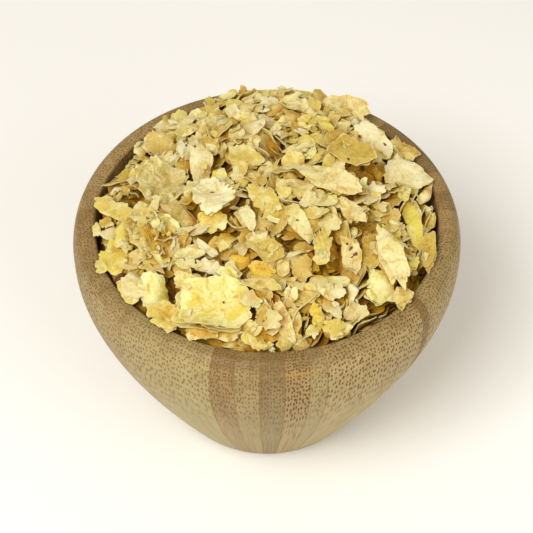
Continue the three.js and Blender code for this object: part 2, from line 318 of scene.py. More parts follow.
# Tone is 0 for pale and 1 for dark, bold is how dark the fibre dots are, warm runs from 0 for olive to 1
# for reddish, and dense is how close the dots lie. One stave has an orange stripe of sap under its rim.
FRONT_STAVES = {
    -46: {"tone": 0.34, "bold": 0.60, "warm": 0.10, "dense": 1.00},
    -16: {"tone": 0.70, "bold": 0.75, "warm": 0.70, "dense": 1.18},
    -9: {"tone": 0.56, "bold": 0.65, "warm": 0.25, "dense": 1.12},
    -2: {"tone": 0.76, "bold": 0.70, "warm": 0.25, "dense": 1.20},
    5: {"tone": 0.56, "bold": 1.60, "warm": 0.45, "dense": 1.22, "sap": 1.0},
    12: {"tone": 0.50, "bold": 0.65, "warm": 0.10, "dense": 1.15},
    17: {"tone": 0.40, "bold": 0.85, "warm": 0.30, "dense": 0.98},
    50: {"tone": 0.85, "bold": 0.80, "warm": 0.80, "dense": 1.10},
    53: {"tone": 0.40, "bold": 0.70, "warm": 0.35, "dense": 1.00},
    302: {"tone": 0.42, "bold": 0.60, "warm": 0.40, "dense": 1.05},
}

stave_rng = np.random.default_rng(7)
staves = []
for index, start in enumerate(STAVE_EDGES):
    end = STAVE_EDGES[(index + 1) % len(STAVE_EDGES)]
    if end <= start:
        end += 360
    stave = {"tone": stave_rng.uniform(0.3, 0.7), "bold": stave_rng.uniform(0.4, 0.8),
             "warm": stave_rng.uniform(0.3, 0.8), "dense": stave_rng.uniform(0.95, 1.2), "sap": 0.0}
    shift = stave_rng.uniform(-400, 400, 2)
    stave.update(FRONT_STAVES.get(start, {}), start=start, end=end, shift=shift)
    staves.append(stave)
print("staves:", len(staves))

# %% Give the bowl its maps
grain_map = bm.loops.layers.uv.new("grain")
glue_map = bm.loops.layers.uv.new("glue")
look_map = bm.loops.layers.uv.new("stave_look")
warm_map = bm.loops.layers.uv.new("stave_hue")
for face in bm.faces:
    middle = face.calc_center_median()
    compass = math.degrees(math.atan2(middle.x, -middle.y))
    stave = next(s for s in staves if s["start"] <= compass < s["end"]
                 or s["start"] <= compass + 360 < s["end"])
    centre = math.radians((stave["start"] + stave["end"]) / 2)
    half = math.radians((stave["end"] - stave["start"]) / 2)
    for loop in face.loops:
        x, y, z = loop.vert.co
        radius = math.hypot(x, y)
        away = math.remainder(math.atan2(x, -y) - centre, 2 * math.pi) if radius > 0.01 else 0.0
        along = radius * math.sin(away)
        inward = (radius * math.cos(away) + (HEIGHT - z) * math.tan(FIBRE_LEAN)) * math.cos(FIBRE_LEAN)
        loop[grain_map].uv = (along * stave["dense"] + stave["shift"][0],
                              inward * stave["dense"] + stave["shift"][1])
        loop[glue_map].uv = (radius * (half - abs(away)), HEIGHT - z)
        loop[look_map].uv = (stave["tone"], stave["bold"])
        loop[warm_map].uv = (stave["warm"], stave["sap"])
bowl_mesh = smooth_mesh(bm, "bamboo_bowl")
print("maps of the bowl:", [layer.name for layer in bowl_mesh.uv_layers])

# %% [markdown]
# ## Bamboo
# Bamboo is a grass: pale soft ground tissue with darker bundles of fibres through it, about a millimetre
# apart, sanded smooth and rubbed with oil. The dots are cells of a Voronoi pattern in the plane square
# to the fibres, the ground is uneven from stave to stave, and each glue line is a thin dark seam. The
# oil leaves a soft satin shine.

# %% Bamboo finish
DOT_SPACING = 1.05
DOT_RADIUS = 0.43


def bamboo():
    material, tree, shader = new_material("oiled turned bamboo")
    grain = add(tree, "UVMap", uv_map="grain")
    glue = add(tree, "SeparateXYZ", [add(tree, "UVMap", uv_map="glue")])
    look = add(tree, "SeparateXYZ", [add(tree, "UVMap", uv_map="stave_look")])
    warmth = add(tree, "SeparateXYZ", [add(tree, "UVMap", uv_map="stave_hue")])
    seam, drop = glue.outputs[0], glue.outputs[1]
    tone, bold = look.outputs[0], look.outputs[1]

    # Fibre bundles: one dot in each cell, of uneven size, dark on the rim and faint down the wall.
    cells = add(tree, "TexVoronoi", {"Vector": grain, "Scale": 1 / DOT_SPACING, "Randomness": 0.6},
                voronoi_dimensions="2D")
    wobble = add(tree, "TexNoise", {"Vector": grain, "Scale": 0.6, "Detail": 2.0}, noise_dimensions="2D")
    size = add(tree, "MapRange", [wobble, 0.3, 0.7, 0.7 * DOT_RADIUS, 1.2 * DOT_RADIUS])
    inner = add(tree, "Math", [size, 0.35], operation="MULTIPLY")
    reach = add(tree, "Math", [cells, DOT_SPACING], operation="MULTIPLY")
    dot = add(tree, "MapRange", [reach, inner, size, 1.0, 0.0], interpolation_type="SMOOTHSTEP")
    near_rim = add(tree, "MapRange", [drop, 8.0, 42.0, 1.15, 0.25], interpolation_type="SMOOTHSTEP")
    dot = add(tree, "Math", [dot, near_rim], operation="MULTIPLY")
    dot = add(tree, "Math", [dot, bold], operation="MULTIPLY", use_clamp=True)

    # The ground: fine threads between the bundles, slow changes of tone, painted shade on top and painted
    # light below.
    threads = add(tree, "TexNoise", {"Vector": grain, "Scale": 2.2, "Detail": 3.0, "Roughness": 0.7},
                  noise_dimensions="2D")
    clouds = add(tree, "TexNoise", {"Vector": grain, "Scale": 0.18, "Detail": 3.0}, noise_dimensions="2D")
    level = add(tree, "Math", [clouds, 0.28], operation="MULTIPLY")
    level = add(tree, "Math", [threads, 0.50, level], operation="MULTIPLY_ADD")
    level = add(tree, "Math", [tone, 0.60, level], operation="MULTIPLY_ADD")
    # Painted shade: the rim's top is made darker, as it is lit less than the wall below it.
    painted_rim_top_shade = add(tree, "MapRange", [drop, 1.0, 3.2, 0.12, 0.0], interpolation_type="SMOOTHSTEP")
    level = add(tree, "Math", [level, painted_rim_top_shade], operation="ADD")
    # Painted light: the wall is made darker near the rim and paler towards the foot, where the floor's bounce
    # lights it.
    down = add(tree, "MapRange", [drop, 0.0, 50.0, 0.10, -0.04])
    level = add(tree, "Math", [level, down], operation="ADD")
    ground = add(tree, "ValToRGB", [level], stops=[(0.32, "#c8b788"), (0.71, "#aa9566"), (1.06, "#7c653a")])
    hue = add(tree, "Mix", {0: warmth, 6: "#eef4ea", 7: "#fff0e0"}, data_type="RGBA")
    ground = add(tree, "Mix", {0: 1.0, 6: ground, 7: hue.outputs[2]}, data_type="RGBA",
                 blend_type="MULTIPLY")
    colour = add(tree, "Mix", {0: dot, 6: ground.outputs[2], 7: "#654008"}, data_type="RGBA")
    band = add(tree, "MapRange", [drop, 2.6, 3.6, 0.0, 1.0], interpolation_type="SMOOTHSTEP")
    band_end = add(tree, "MapRange", [drop, 3.8, 4.8, 0.7, 0.0], interpolation_type="SMOOTHSTEP")
    band = add(tree, "Math", [band, band_end], operation="MULTIPLY")
    broken = add(tree, "MapRange", [threads, 0.42, 0.58])
    band = add(tree, "Math", [band, broken], operation="MULTIPLY")
    band = add(tree, "Math", [band, warmth.outputs[1]], operation="MULTIPLY")
    colour = add(tree, "Mix", {0: band, 6: colour.outputs[2], 7: "#b07a18"}, data_type="RGBA")
    line = add(tree, "MapRange", [seam, 0.05, 0.40, 0.45, 0.0], interpolation_type="SMOOTHSTEP")
    colour = add(tree, "Mix", {0: line, 6: colour.outputs[2], 7: "#7a5526"}, data_type="RGBA")

    # The dots are dry and matt between the oiled threads, and lie a little lower.
    rough = add(tree, "MapRange", [dot, 0.0, 1.0, 0.60, 0.80])
    dips = add(tree, "Math", [threads, dot], operation="SUBTRACT")
    bump = add(tree, "Bump", {"Height": dips, "Distance": 0.00006, "Strength": 0.5})
    put(tree, shader, {"Base Color": colour.outputs[2], "Roughness": rough, "IOR": 1.5, "Normal": bump})
    return material


finish_piece(bowl_mesh, "bamboo_bowl", bamboo(), "bowl")

# %% [markdown]
# ## The mound
# Under the flakes lies a plain mound, so that no one sees through the heap to the bowl's floor. It is
# coloured as painted shade, the dark brown of the shaded gaps between flakes, and it follows the same rule as
# the frame's heap: high in the middle, lower at the edge, slid down at two stretches and heaped onto the rim
# at the back.

# %% The heap's height
CROWN = 13.0
CROWN_POWER = 2.4
EDGE_DROP = 2.5
BACK_RISE = 2.5
# Compass angle of the middle from +X, half width, both in degrees, and rise in millimetres.
EDGE_STRETCHES = [(148, 30, -3.5), (8, 22, -3.0), (76, 28, 2.5)]


def heap_top(x, y):
    share = np.minimum(1, np.hypot(x, y) / RIM_INNER_RADIUS)
    compass = np.degrees(np.arctan2(y, x))
    top = HEIGHT - EDGE_DROP + CROWN * (1 - share ** CROWN_POWER) + BACK_RISE * y / RIM_INNER_RADIUS
    for middle, half, rise in EDGE_STRETCHES:
        away = (compass - middle + 180) % 360 - 180
        top = top + rise * np.exp(-(away / half) ** 2) * share ** 4
    return top


print("the heap's middle:", round(float(heap_top(0, 0)), 1), "mm up")

# %% The mound's shape
# It lies this far below the heap's top and this far from the bowl's inside, in millimetres.
MOUND_DEPTH = 5.5
MOUND_GAP = 0.6
MOUND_WALL_DROP = 12
MOUND_RINGS = 16
MOUND_SIDES = 72

inner_wall = [(r, z) for r, z in section[-INNER_STEPS - 1:-1] if z < HEIGHT - MOUND_WALL_DROP]
mound_section = [(0, FLOOR_THICKNESS + MOUND_GAP)]
mound_section += [(r - MOUND_GAP, z + MOUND_GAP) for r, z in reversed(inner_wall)]
for ring in range(MOUND_RINGS + 1):
    mound_section.append(((RIM_INNER_RADIUS - MOUND_GAP) * (1 - ring / MOUND_RINGS), HEIGHT))
bm = spun([(radius, 0, z) for radius, z in mound_section], MOUND_SIDES)
for vert in bm.verts:
    if vert.co.z > HEIGHT - 1e-3:
        vert.co.z = float(heap_top(vert.co.x, vert.co.y)) - MOUND_DEPTH
mound_mesh = smooth_mesh(bm, "flake_mound")
print("mound faces:", len(mound_mesh.polygons))


# %% Finish of the mound
def mound_in_painted_shade():
    material, tree, shader = new_material("packed flakes in shade")
    place = add(tree, "TexCoord").outputs["Object"]
    chips = add(tree, "TexVoronoi", {"Vector": place, "Scale": 260.0})
    # Painted shade: the mound is coloured the dark golden brown of shaded gaps, in chips of two browns.
    painted_shade_tint = add(tree, "ValToRGB", [chips.outputs["Color"]], stops=[(0.2, "#85561a"), (0.8, "#bc8832")])
    bump = add(tree, "Bump", {"Height": chips.outputs["Distance"], "Distance": 0.001})
    put(tree, shader, {"Base Color": painted_shade_tint, "Roughness": 0.9, "Normal": bump})
    return material


finish_piece(mound_mesh, "flake_mound", mound_in_painted_shade(), "chestnut_flakes")

# %% [markdown]
# ## A flake
# Chestnuts are steamed and rolled flat, and the flakes dry wavy, with torn and cracked edges. Each flake
# starts as the same unit disc: a row of points from the middle to the edge, spun round, and given a
# thickness. Its points are then moved: out to a torn outline, up and down into folds, and round a bend.
# Flakes that are one of hundreds get a coarse disc of a few dozen faces or, near the top, a medium one.
# Those that stand out get a fine or grand one, and the torn sheets under them the one for a sheet.

# %% Unit discs
def unit_disc(rings, sides):
    """Corners as (share of the way out, angle, layer), and the faces that join them."""
    bm = spun([(share, 0, 0) for share in rings], sides)
    if sum(face.normal.z for face in bm.faces) < 0:
        bmesh.ops.reverse_faces(bm, faces=bm.faces)
    bmesh.ops.solidify(bm, geom=bm.faces[:], thickness=0.1)
    bmesh.ops.recalc_face_normals(bm, faces=bm.faces)
    points = np.array([vert.co for vert in bm.verts])
    layer = (points[:, 2] < points[:, 2].mean()).astype(float)
    share = np.hypot(points[:, 0], points[:, 1])
    share[share > 0.999] = 1.0
    angle = np.arctan2(points[:, 1], points[:, 0])
    angle[share < 1e-4] = 0.0
    faces = [[vert.index for vert in face.verts] for face in bm.faces]
    bm.free()
    return {"share": share, "angle": angle, "layer": layer, "faces": faces}


DISCS = {
    "coarse": unit_disc([0, 0.58, 1], 12),
    "medium": unit_disc([0, 0.62, 1], 26),
    "sheet": unit_disc([0, 0.55, 0.86, 1], 52),
    "fine": unit_disc([0, 0.22, 0.42, 0.60, 0.75, 0.87, 0.95, 1], 60),
    "grand": unit_disc([0, 0.13, 0.25, 0.37, 0.48, 0.58, 0.67, 0.75, 0.82, 0.88, 0.93, 0.97, 1], 112),
}
for name, disc in DISCS.items():
    print("faces of a", name, "flake:", len(disc["faces"]))

# %% [markdown]
# The outline of a flake is a rounded polygon with torn sides: broad corners, then jags of four lengths,
# then a few cracks that run in from the edge. Some flakes have rounded lobes or teeth along one side. The
# relief is a handful of folds of different length, some soft and some sharp, with ripples along the edge.
# Last, the flake is laid along a curve, which curls it or folds an edge over. Sheets that were rolled
# together keep the same folds and curl, so they nest like the layers of a pastry.

# %% Styles of flakes
STYLES = {
    # corners, roundness 0..1, tear mm, cracks, their depth mm, crumple, edge ripple mm, lobes, their
    # depth, turn of the curl from side to side in radians, turn of the fold in degrees
    "smooth": dict(corners=6, soft=0.28, tear=0.16, cracks=0.4, depth=1.0, crumple=0.5, edge=0.20,
                   lobes=0, lobe=0.0, curl=0.3, fold=0),
    "torn": dict(corners=6, soft=0.10, tear=0.27, cracks=1.2, depth=1.3, crumple=0.7, edge=0.30,
                 lobes=0, lobe=0.0, curl=0.1, fold=0),
    "rounded": dict(corners=8, soft=0.48, tear=0.26, cracks=2.0, depth=1.4, crumple=0.7, edge=0.30,
                    lobes=0, lobe=0.0, curl=0.2, fold=0),
    "scallop": dict(corners=6, soft=0.65, tear=0.06, cracks=1.0, depth=1.0, crumple=0.6, edge=0.30,
                    lobes=11, lobe=0.09, curl=0.3, fold=0),
    "serrated": dict(corners=7, soft=0.40, tear=0.14, cracks=1.0, depth=1.2, crumple=0.7, edge=0.30,
                     lobes=19, lobe=0.12, curl=-0.4, fold=0),
    "puffy": dict(corners=8, soft=0.40, tear=0.22, cracks=2.0, depth=1.4, crumple=1.2, edge=0.40,
                  lobes=5, lobe=0.10, curl=-0.6, fold=0),
    "crescent": dict(corners=6, soft=0.40, tear=0.12, cracks=0.3, depth=0.8, crumple=0.5, edge=0.20,
                     lobes=0, lobe=0.0, curl=1.1, fold=0),
    "arched": dict(corners=7, soft=0.30, tear=0.20, cracks=1.0, depth=1.2, crumple=0.6, edge=0.30,
                   lobes=0, lobe=0.0, curl=-1.2, fold=0),
    "folded": dict(corners=7, soft=0.40, tear=0.16, cracks=1.0, depth=1.2, crumple=0.6, edge=0.30,
                   lobes=0, lobe=0.0, curl=0.4, fold=125),
}
# Lengths of the jags in millimetres, and the part of a style's tear that each length gets.
JAGS = [(4.5, 0.5), (2.2, 0.9), (1.1, 0.9), (0.6, 0.5)]
print("styles of flakes:", list(STYLES))


# %% The random numbers of one flake
# Of a flake's folds, the first few are broad and the last few are sharp.
FOLDS = 7
BROAD_FOLDS = 3
FIRST_SHARP_FOLD = 5
RIPPLE_LENGTH = 5.0


def new_shape(rng, length, width, style):
    """Draws the random numbers that fix one flake's form."""
    knobs = STYLES[style]
    size = math.sqrt(length * width)
    corners = knobs["corners"] + rng.integers(-1, 2)
    spread = (np.arange(corners) + rng.uniform(-0.38, 0.38, corners)) / corners
    jags = []
    for wavelength, part in JAGS:
        jags.append(rng.normal(0, knobs["tear"] * part, max(6, int(math.pi * size / wavelength))))
    folds = []
    for index in range(FOLDS):
        broad = index < BROAD_FOLDS
        sharp = index >= FIRST_SHARP_FOLD
        wavelength = size * rng.uniform(0.8, 1.7) if broad else max(1.6, size * rng.uniform(0.22, 0.6))
        rise = knobs["crumple"] * wavelength * (rng.uniform(0.04, 0.08) if broad else rng.uniform(0.01, 0.04))
        folds.append((rng.uniform(0, 2 * math.pi), wavelength, rise, rng.uniform(0, 2 * math.pi), sharp))
    cracks = []
    for index in range(rng.poisson(knobs["cracks"])):
        cracks.append((rng.uniform(0, 1), rng.uniform(0.2, 0.6), knobs["depth"] * rng.uniform(0.4, 1.3)))
    return {
        "length": length, "width": width, "size": size, "knobs": knobs,
        "corner_turns": spread, "corner_reach": rng.uniform(0.78, 1.18, corners),
        "start": rng.uniform(0, 1), "square": rng.uniform(2.0, 2.8),
        "jags": jags, "folds": folds, "cracks": cracks,
        "ripples": rng.normal(0, knobs["edge"], max(5, int(math.pi * size / RIPPLE_LENGTH))),
        "phase": rng.uniform(0, 2 * math.pi, 4), "curl": rng.normal(knobs["curl"], 0.55) / size,
        "axis": rng.uniform(0.25 * math.pi, 0.75 * math.pi), "fold": math.radians(knobs["fold"]),
        "fold_at": (0.12 + 0.14 * rng.uniform()) * width,
        "thick": rng.uniform(0.42, 0.70) * min(1, 0.3 + size / 12),
    }


def torn_off(rng, shape):
    """A sheet that was rolled together with the shape: the same folds and curl, its own torn outline."""
    length, width = shape["length"] * rng.uniform(0.8, 1.0), shape["width"] * rng.uniform(0.8, 1.0)
    part = new_shape(rng, length, width, "torn")
    part.update((name, shape[name]) for name in ("folds", "ripples", "curl", "axis", "fold", "fold_at"))
    return part


print("numbers of a flake:", list(new_shape(np.random.default_rng(0), 10, 6, "torn")))


# %% The outline of a flake
def outline_of(shape, turns):
    """The share of the half length and width that the edge reaches, for each turn round the flake."""
    knobs = shape["knobs"]
    corner_turns = np.append(shape["corner_turns"], shape["corner_turns"][0] + 1)
    corner_reach = np.append(shape["corner_reach"], shape["corner_reach"][0])
    away = corner_turns[0] + (turns - shape["start"] - corner_turns[0]) % 1
    index = np.clip(np.searchsorted(corner_turns, away, side="right") - 1, 0, len(corner_turns) - 2)
    before, after = 2 * np.pi * (away - corner_turns[index]), 2 * np.pi * (corner_turns[index + 1] - away)
    near, far = corner_reach[index], corner_reach[index + 1]
    straight = near * far * np.sin(before + after) / (near * np.sin(before) + far * np.sin(after))
    reach = knobs["soft"] + (1 - knobs["soft"]) * straight
    angle, square = 2 * np.pi * turns, shape["square"]
    reach *= (np.abs(np.cos(angle)) ** square + np.abs(np.sin(angle)) ** square) ** (-1 / square)
    reach *= 2.0 ** (1 / square - 0.5) * 0.5 + 0.5
    half = shape["size"] / 2
    for jag in shape["jags"]:
        reach = reach + np.interp(turns * len(jag), np.arange(len(jag)), jag, period=len(jag)) / half
    if knobs["lobes"]:
        side = np.clip(0.6 + np.cos(2 * np.pi * turns - shape["phase"][0]), 0, 1)
        bulge = np.abs(np.cos(np.pi * knobs["lobes"] * turns + shape["phase"][1])) - 0.6
        reach = reach + knobs["lobe"] * side * bulge
    for place, wide, deep in shape["cracks"]:
        gap = np.abs((turns - place + 0.5) % 1 - 0.5) * 2 * np.pi * half
        reach = reach - np.clip(1 - gap / wide, 0, 1) * deep / half
    return np.clip(reach, 0.25, 1.4)


# %% The form of a flake
# A flake is bent along this many steps, folds over within this many millimetres, and turns at most
# this far in all, in radians.
BEND_STEPS = 161
FOLD_LENGTH = 1.8
MOST_BEND = 3.2


def form(shape, share, angle, layer):
    """Places points of the unit disc on the flake: x along it, y across it, z up, in millimetres."""
    turns = (angle / (2 * np.pi)) % 1
    pull = share * (1 + (outline_of(shape, turns) - 1) * share ** 1.5)
    u = shape["length"] / 2 * pull * np.cos(angle)
    v = shape["width"] / 2 * pull * np.sin(angle)
    rise = np.zeros_like(u)
    for heading, wavelength, height, phase, sharp in shape["folds"]:
        wave = np.sin(2 * np.pi * (u * np.cos(heading) + v * np.sin(heading)) / wavelength + phase)
        rise += height * (np.abs(wave) * 2 - 1.27 if sharp else wave)
    ripples = shape["ripples"]
    rise += share ** 3 * np.interp(turns * len(ripples), np.arange(len(ripples)), ripples,
                                   period=len(ripples))
    rise -= layer * shape["thick"] * (1 - 0.5 * share ** 4)

    # Lay the flake along a curve: it turns evenly by the curl, and more where it folds over.
    across, along = np.sin(shape["axis"]), np.cos(shape["axis"])
    q, p = v * across + u * along, u * across - v * along
    steps = np.linspace(-shape["length"], shape["length"], BEND_STEPS)
    heading = shape["curl"] * steps
    heading += shape["fold"] * np.clip((steps - shape["fold_at"]) / FOLD_LENGTH + 0.5, 0, 1)
    heading = np.clip(heading, -MOST_BEND, MOST_BEND)
    stride = steps[1] - steps[0]
    path_q = np.cumsum(np.cos(heading)) * stride
    path_z = np.cumsum(np.sin(heading)) * stride
    path_q -= path_q[BEND_STEPS // 2]
    path_z -= path_z[BEND_STEPS // 2]
    bend = np.interp(q, steps, heading)
    q_new = np.interp(q, steps, path_q) - rise * np.sin(bend)
    rise = np.interp(q, steps, path_z) + rise * np.cos(bend)
    return np.stack([p * across + q_new * along, q_new * across - p * along, rise], axis=-1)


# %% [markdown]
# ## Dropping the flakes
# The heap's surface is kept as a grid of heights, a little over half a millimetre fine, that starts as
# the mound with the bowl's rim round it. A flake is turned to lie as the ground under it slopes, lowered
# until it rests on the highest spots under it, and then added to the ground for the next one. So every
# flake lies on another one or on the rim, from whichever side it is seen.

# %% The ground
CELL = 0.6
GROUND_HALF = 63.0
# The fewest cells that a slope is measured on, and the steepest slope that a flake follows.
FEWEST_CELLS = 6
STEEPEST = 1.2
cells = int(2 * GROUND_HALF / CELL)
axis_places = (np.arange(cells) + 0.5) * CELL - GROUND_HALF
grid_x, grid_y = np.meshgrid(axis_places, axis_places, indexing="ij")
grid_r = np.hypot(grid_x, grid_y)
inside = grid_r < RIM_INNER_RADIUS
# The rim's section, from the inside to the widest ring.
rim_r = np.array([RIM_INNER_RADIUS, RIM_FLAT_OUTER_RADIUS, 58.5, WIDEST_RADIUS, WIDEST_RADIUS + 0.1])
rim_z = np.array([HEIGHT, HEIGHT, HEIGHT - 1.9, AIM_HEIGHT, 0.0])
ground = np.where(inside, heap_top(grid_x, grid_y) - MOUND_DEPTH, np.interp(grid_r, rim_r, rim_z))
# How high the small flakes are heaped: just below the heap's top, but a little over it by the rim, most of
# all at the front.
near_rim = (grid_r / RIM_INNER_RADIUS) ** 6
target = heap_top(grid_x, grid_y) - 0.8 + near_rim * (0.8 + 4.2 * np.clip(-grid_y / RIM_INNER_RADIUS, 0, 1)
                                                + 1.6 * np.exp(-((grid_x - 3) / 22) ** 2) * (grid_y > 0))

# Dark gaps between the flakes that stay open: across, back, radius and depth.
GAPS = [(-24, -10, 1.7, 4), (0.5, 20, 2.6, 4), (4.5, 18.5, 1.8, 4), (-25.5, -34, 1.8, 4),
        (-28, -29.5, 1.5, 4), (-6.5, -32.5, 1.4, 4), (36.5, 13, 2.4, 4), (42, -26.5, 1.5, 4),
        (19.5, -27, 1.2, 4), (-41.5, -30.5, 1.2, 4), (50, 9.5, 2.0, 4), (30, -35, 1.4, 4),
        (-12.5, -24, 1.5, 3), (38.5, 1, 1.6, 4), (-42, 2.5, 1.6, 3), (6.5, -18.5, 1.4, 3),
        (-13, 13, 1.4, 3), (29.5, 9.5, 1.8, 4), (32.5, -9.5, 1.6, 3), (-9, -5.5, 1.2, 3)]
in_gap = np.zeros(target.shape, dtype=bool)
for across, back, radius, depth in GAPS:
    off = np.hypot(grid_x - across, grid_y - back)
    target = target - depth * np.exp(-(off / radius) ** 2)
    in_gap |= off < radius
print("ground:", ground.shape, "cells, open gaps:", len(GAPS))


# %% How a flake lies on a slope
def cells_under(spots):
    """The cells of the ground that spots lie in, as rows and columns."""
    index = ((spots[:, :2] + GROUND_HALF) / CELL).astype(int)
    return tuple(np.clip(index, 0, cells - 1).T)


def tilt_matrix(turn, faces, lean):
    """Turns the long axis to turn, then leans the top by lean towards faces, all in degrees."""
    spin = Matrix.Rotation(math.radians(turn), 3, "Z")
    up = Vector((math.sin(math.radians(lean)) * math.cos(math.radians(faces)),
                 math.sin(math.radians(lean)) * math.sin(math.radians(faces)),
                 math.cos(math.radians(lean))))
    return np.array(Vector((0, 0, 1)).rotation_difference(up).to_matrix() @ spin)


def facing(up):
    """The compass angle that a direction faces and how far it leans, in degrees."""
    return math.degrees(math.atan2(up.y, up.x)), math.degrees(math.acos(up.z))


def slope_under(x, y, reach):
    """The ground's mean slope round a place, as dz/dx and dz/dy."""
    near = ((grid_x - x) ** 2 + (grid_y - y) ** 2 < reach ** 2) & inside
    if near.sum() < FEWEST_CELLS:
        return 0.0, 0.0
    spots = np.stack([grid_x[near] - x, grid_y[near] - y, np.ones(near.sum())], axis=1)
    solution = np.linalg.lstsq(spots, ground[near], rcond=None)[0]
    return [float(slope) for slope in np.clip(solution[:2], -STEEPEST, STEEPEST)]


print("slope at the front:", np.round(slope_under(0, -40, 5), 2))

# %% How high a flake rests
# Probe points on a flake feel the ground. Press is the share of them, in per cent, that clear what the
# flake lies on. The others sink in a little, as thin flakes bend and slip between each other.
PRESS = {"row": 72, "hollow": 74, "crumb": 75, "shown": 79, "fill": 82, "sheet": 84}
# Points this near to the rim's inside, in millimetres, stay above the rim, and this far clear of it.
BY_THE_RIM = 0.7
RIM_CLEARANCE = 0.15
NOTHING_BELOW = -1e9
probe_share, probe_angle = np.meshgrid(np.linspace(0.02, 1, 14), np.linspace(-np.pi, np.pi, 48))
probe_share, probe_angle = probe_share.ravel(), probe_angle.ravel()


def resting_height(shape, turned, x, y, case):
    """How high the flake's middle lies at rest, and how far the rim lifts it off the flakes."""
    under = form(shape, probe_share, probe_angle, np.ones_like(probe_share)) @ turned.T
    spots = under + np.array([x, y, 0])
    gaps = ground[cells_under(spots)] - spots[:, 2]
    over_rim = np.hypot(spots[:, 0], spots[:, 1]) > RIM_INNER_RADIUS - BY_THE_RIM
    height, rim_gap = NOTHING_BELOW, NOTHING_BELOW
    if (~over_rim).any():
        height = np.percentile(gaps[~over_rim], PRESS[case])
    if over_rim.any():
        radius = np.hypot(spots[over_rim, 0], spots[over_rim, 1])
        rim_gap = (np.interp(radius, rim_r, rim_z) - spots[over_rim, 2]).max() + RIM_CLEARANCE
    return max(height, rim_gap), rim_gap - height


def spots_and_cells(shape, turned, x, y, z):
    """Spots on the upper side of a flake, and the cells of the ground below them."""
    spots = form(shape, probe_share, probe_angle, np.zeros_like(probe_share)) @ turned.T + [x, y, z]
    return spots, cells_under(spots)


print("probe points on a flake:", len(probe_share))


# %% What lies round a place
# A flake that lies over a gap's cell by more than this, in millimetres, roofs the gap.
ROOF_HEIGHT = 0.8


def evened(heights, cells_across):
    """The mean height round each cell of the ground."""
    for axis in (0, 1):
        for sweep in range(2):
            shifts = range(-cells_across, cells_across + 1)
            heights = np.mean([np.roll(heights, shift, axis) for shift in shifts], axis=0)
    return heights


def surroundings(reach):
    """How high the heap is round each cell, with a reach in cells."""
    around = evened(np.where(inside, ground, 0), reach)
    return np.where(inside, around / np.maximum(evened(inside.astype(float), reach), 1e-6), HEIGHT)


def roofs_a_gap(shape, turned, x, y, z):
    """True for a flake that would lie over one of the dark gaps."""
    spots, under = spots_and_cells(shape, turned, x, y, z)
    return bool((in_gap[under] & (spots[:, 2] > target[under] + ROOF_HEIGHT)).any())


def stands_out(shape, turned, x, y, z, most):
    """True for a flake with a tip that stands more than most above the heap's own height."""
    spots, under = spots_and_cells(shape, turned, x, y, z)
    return bool((spots[:, 2] - heap_top(spots[:, 0], spots[:, 1])).max() > most)


print("cells inside the rim:", int(inside.sum()))

# %% Laying a flake
# A small flake that the rim would lift further than this off the flakes, in millimetres, is left out.
LIFTED = 0.5
heap = []


def lay(shape, turned, x, y, z, kind, disc, shown=False):
    """Adds a flake to the heap and to the ground."""
    spots, under = spots_and_cells(shape, turned, x, y, z)
    np.maximum.at(ground, under, spots[:, 2])
    heap.append({"shape": shape, "turned": turned, "place": np.array([x, y, z]), "kind": kind,
                 "disc": disc, "shown": shown, "chance": rng.uniform(0, 1, 3)})


def lay_sheets(shape, turned, x, y, kind):
    """Lays sheets that were rolled together with a flake on it, each a little further back."""
    for sheet in range(rng.choice([0, 1, 2], p=[0.5, 0.36, 0.14])):
        x, y = x + rng.normal(0, 0.5), y + rng.uniform(0.3, 1.2)
        part = torn_off(rng, shape)
        z, rim_lift = resting_height(part, turned, x, y, "sheet")
        if rim_lift < LIFTED and not roofs_a_gap(part, turned, x, y, z):
            lay(part, turned, x, y, z, kind, "medium")


def random_places(count, from_rim):
    """Random places on the heap, no nearer to the rim than from_rim."""
    places = rng.uniform(-1, 1, (count, 2)) * RIM_INNER_RADIUS
    return places[np.hypot(places[:, 0], places[:, 1]) < RIM_INNER_RADIUS - from_rim]


print("flakes laid so far:", len(heap))

# %% [markdown]
# ## The flakes that fill the heap
# Most of the heap is a crowd of small flakes. Each new one tries a few places and takes the one where
# the heap still lacks most, until the mound has risen nearly to its full height. They are dealt in the
# mix of colours that shows: cream, lemon, beige and some gold and amber. Most lie as the ground slopes,
# and some stand on edge.

# %% What fills the heap
FILL_MIX = {"cream": 0.28, "lemon": 0.15, "pale": 0.12, "beige": 0.24, "gold": 0.11, "amber": 0.10}
FILL_STYLES = ["torn", "torn", "smooth", "arched", "torn", "crescent"]
# The heap is full when none of the places tried lacks more than the shortfall. Where it is nearly full,
# all but the short flakes get a finer disc. No tip stands further above the heap than the highest.
FILL_SHORTFALL = 0.9
NEARLY_FULL = 3.6
SHORT = 6.0
HIGHEST_TIP = 4.5
MOST_FILLERS = 1500
# The share of the flakes in a row's place that join the row, and of the others that stand steeply.
IN_ROW = 0.8
STEEP_SHARE = 0.10

# Places where flakes lean on each other in a row and show their edges:
# across, back, radius, the compass angle that they face, and their lean.
ROWS = [(2, 21, 10, 40, 62), (15, 13, 8, -95, -22), (33, -33, 8, 128, 48), (46, 2, 9, 172, 48),
        (12, -42, 7, 165, 60), (-44, 12, 8, -40, 40), (8, -20, 6, -140, 45), (30, -12, 8, -70, 38),
        (-8, -18, 6, -120, 40), (-22, 30, 8, -80, 30), (-30, -22, 7, -150, 35), (24, 32, 9, -90, 25),
        (22, -43, 7, 150, 50), (41, -30, 5, 130, 55), (-12, -47, 6, -100, 30)]
ROW_WIDTH = 6.0

fill_kinds = list(FILL_MIX)
fill_odds = np.array(list(FILL_MIX.values()))
print("mix:", FILL_MIX, "rows of leaning flakes:", len(ROWS))

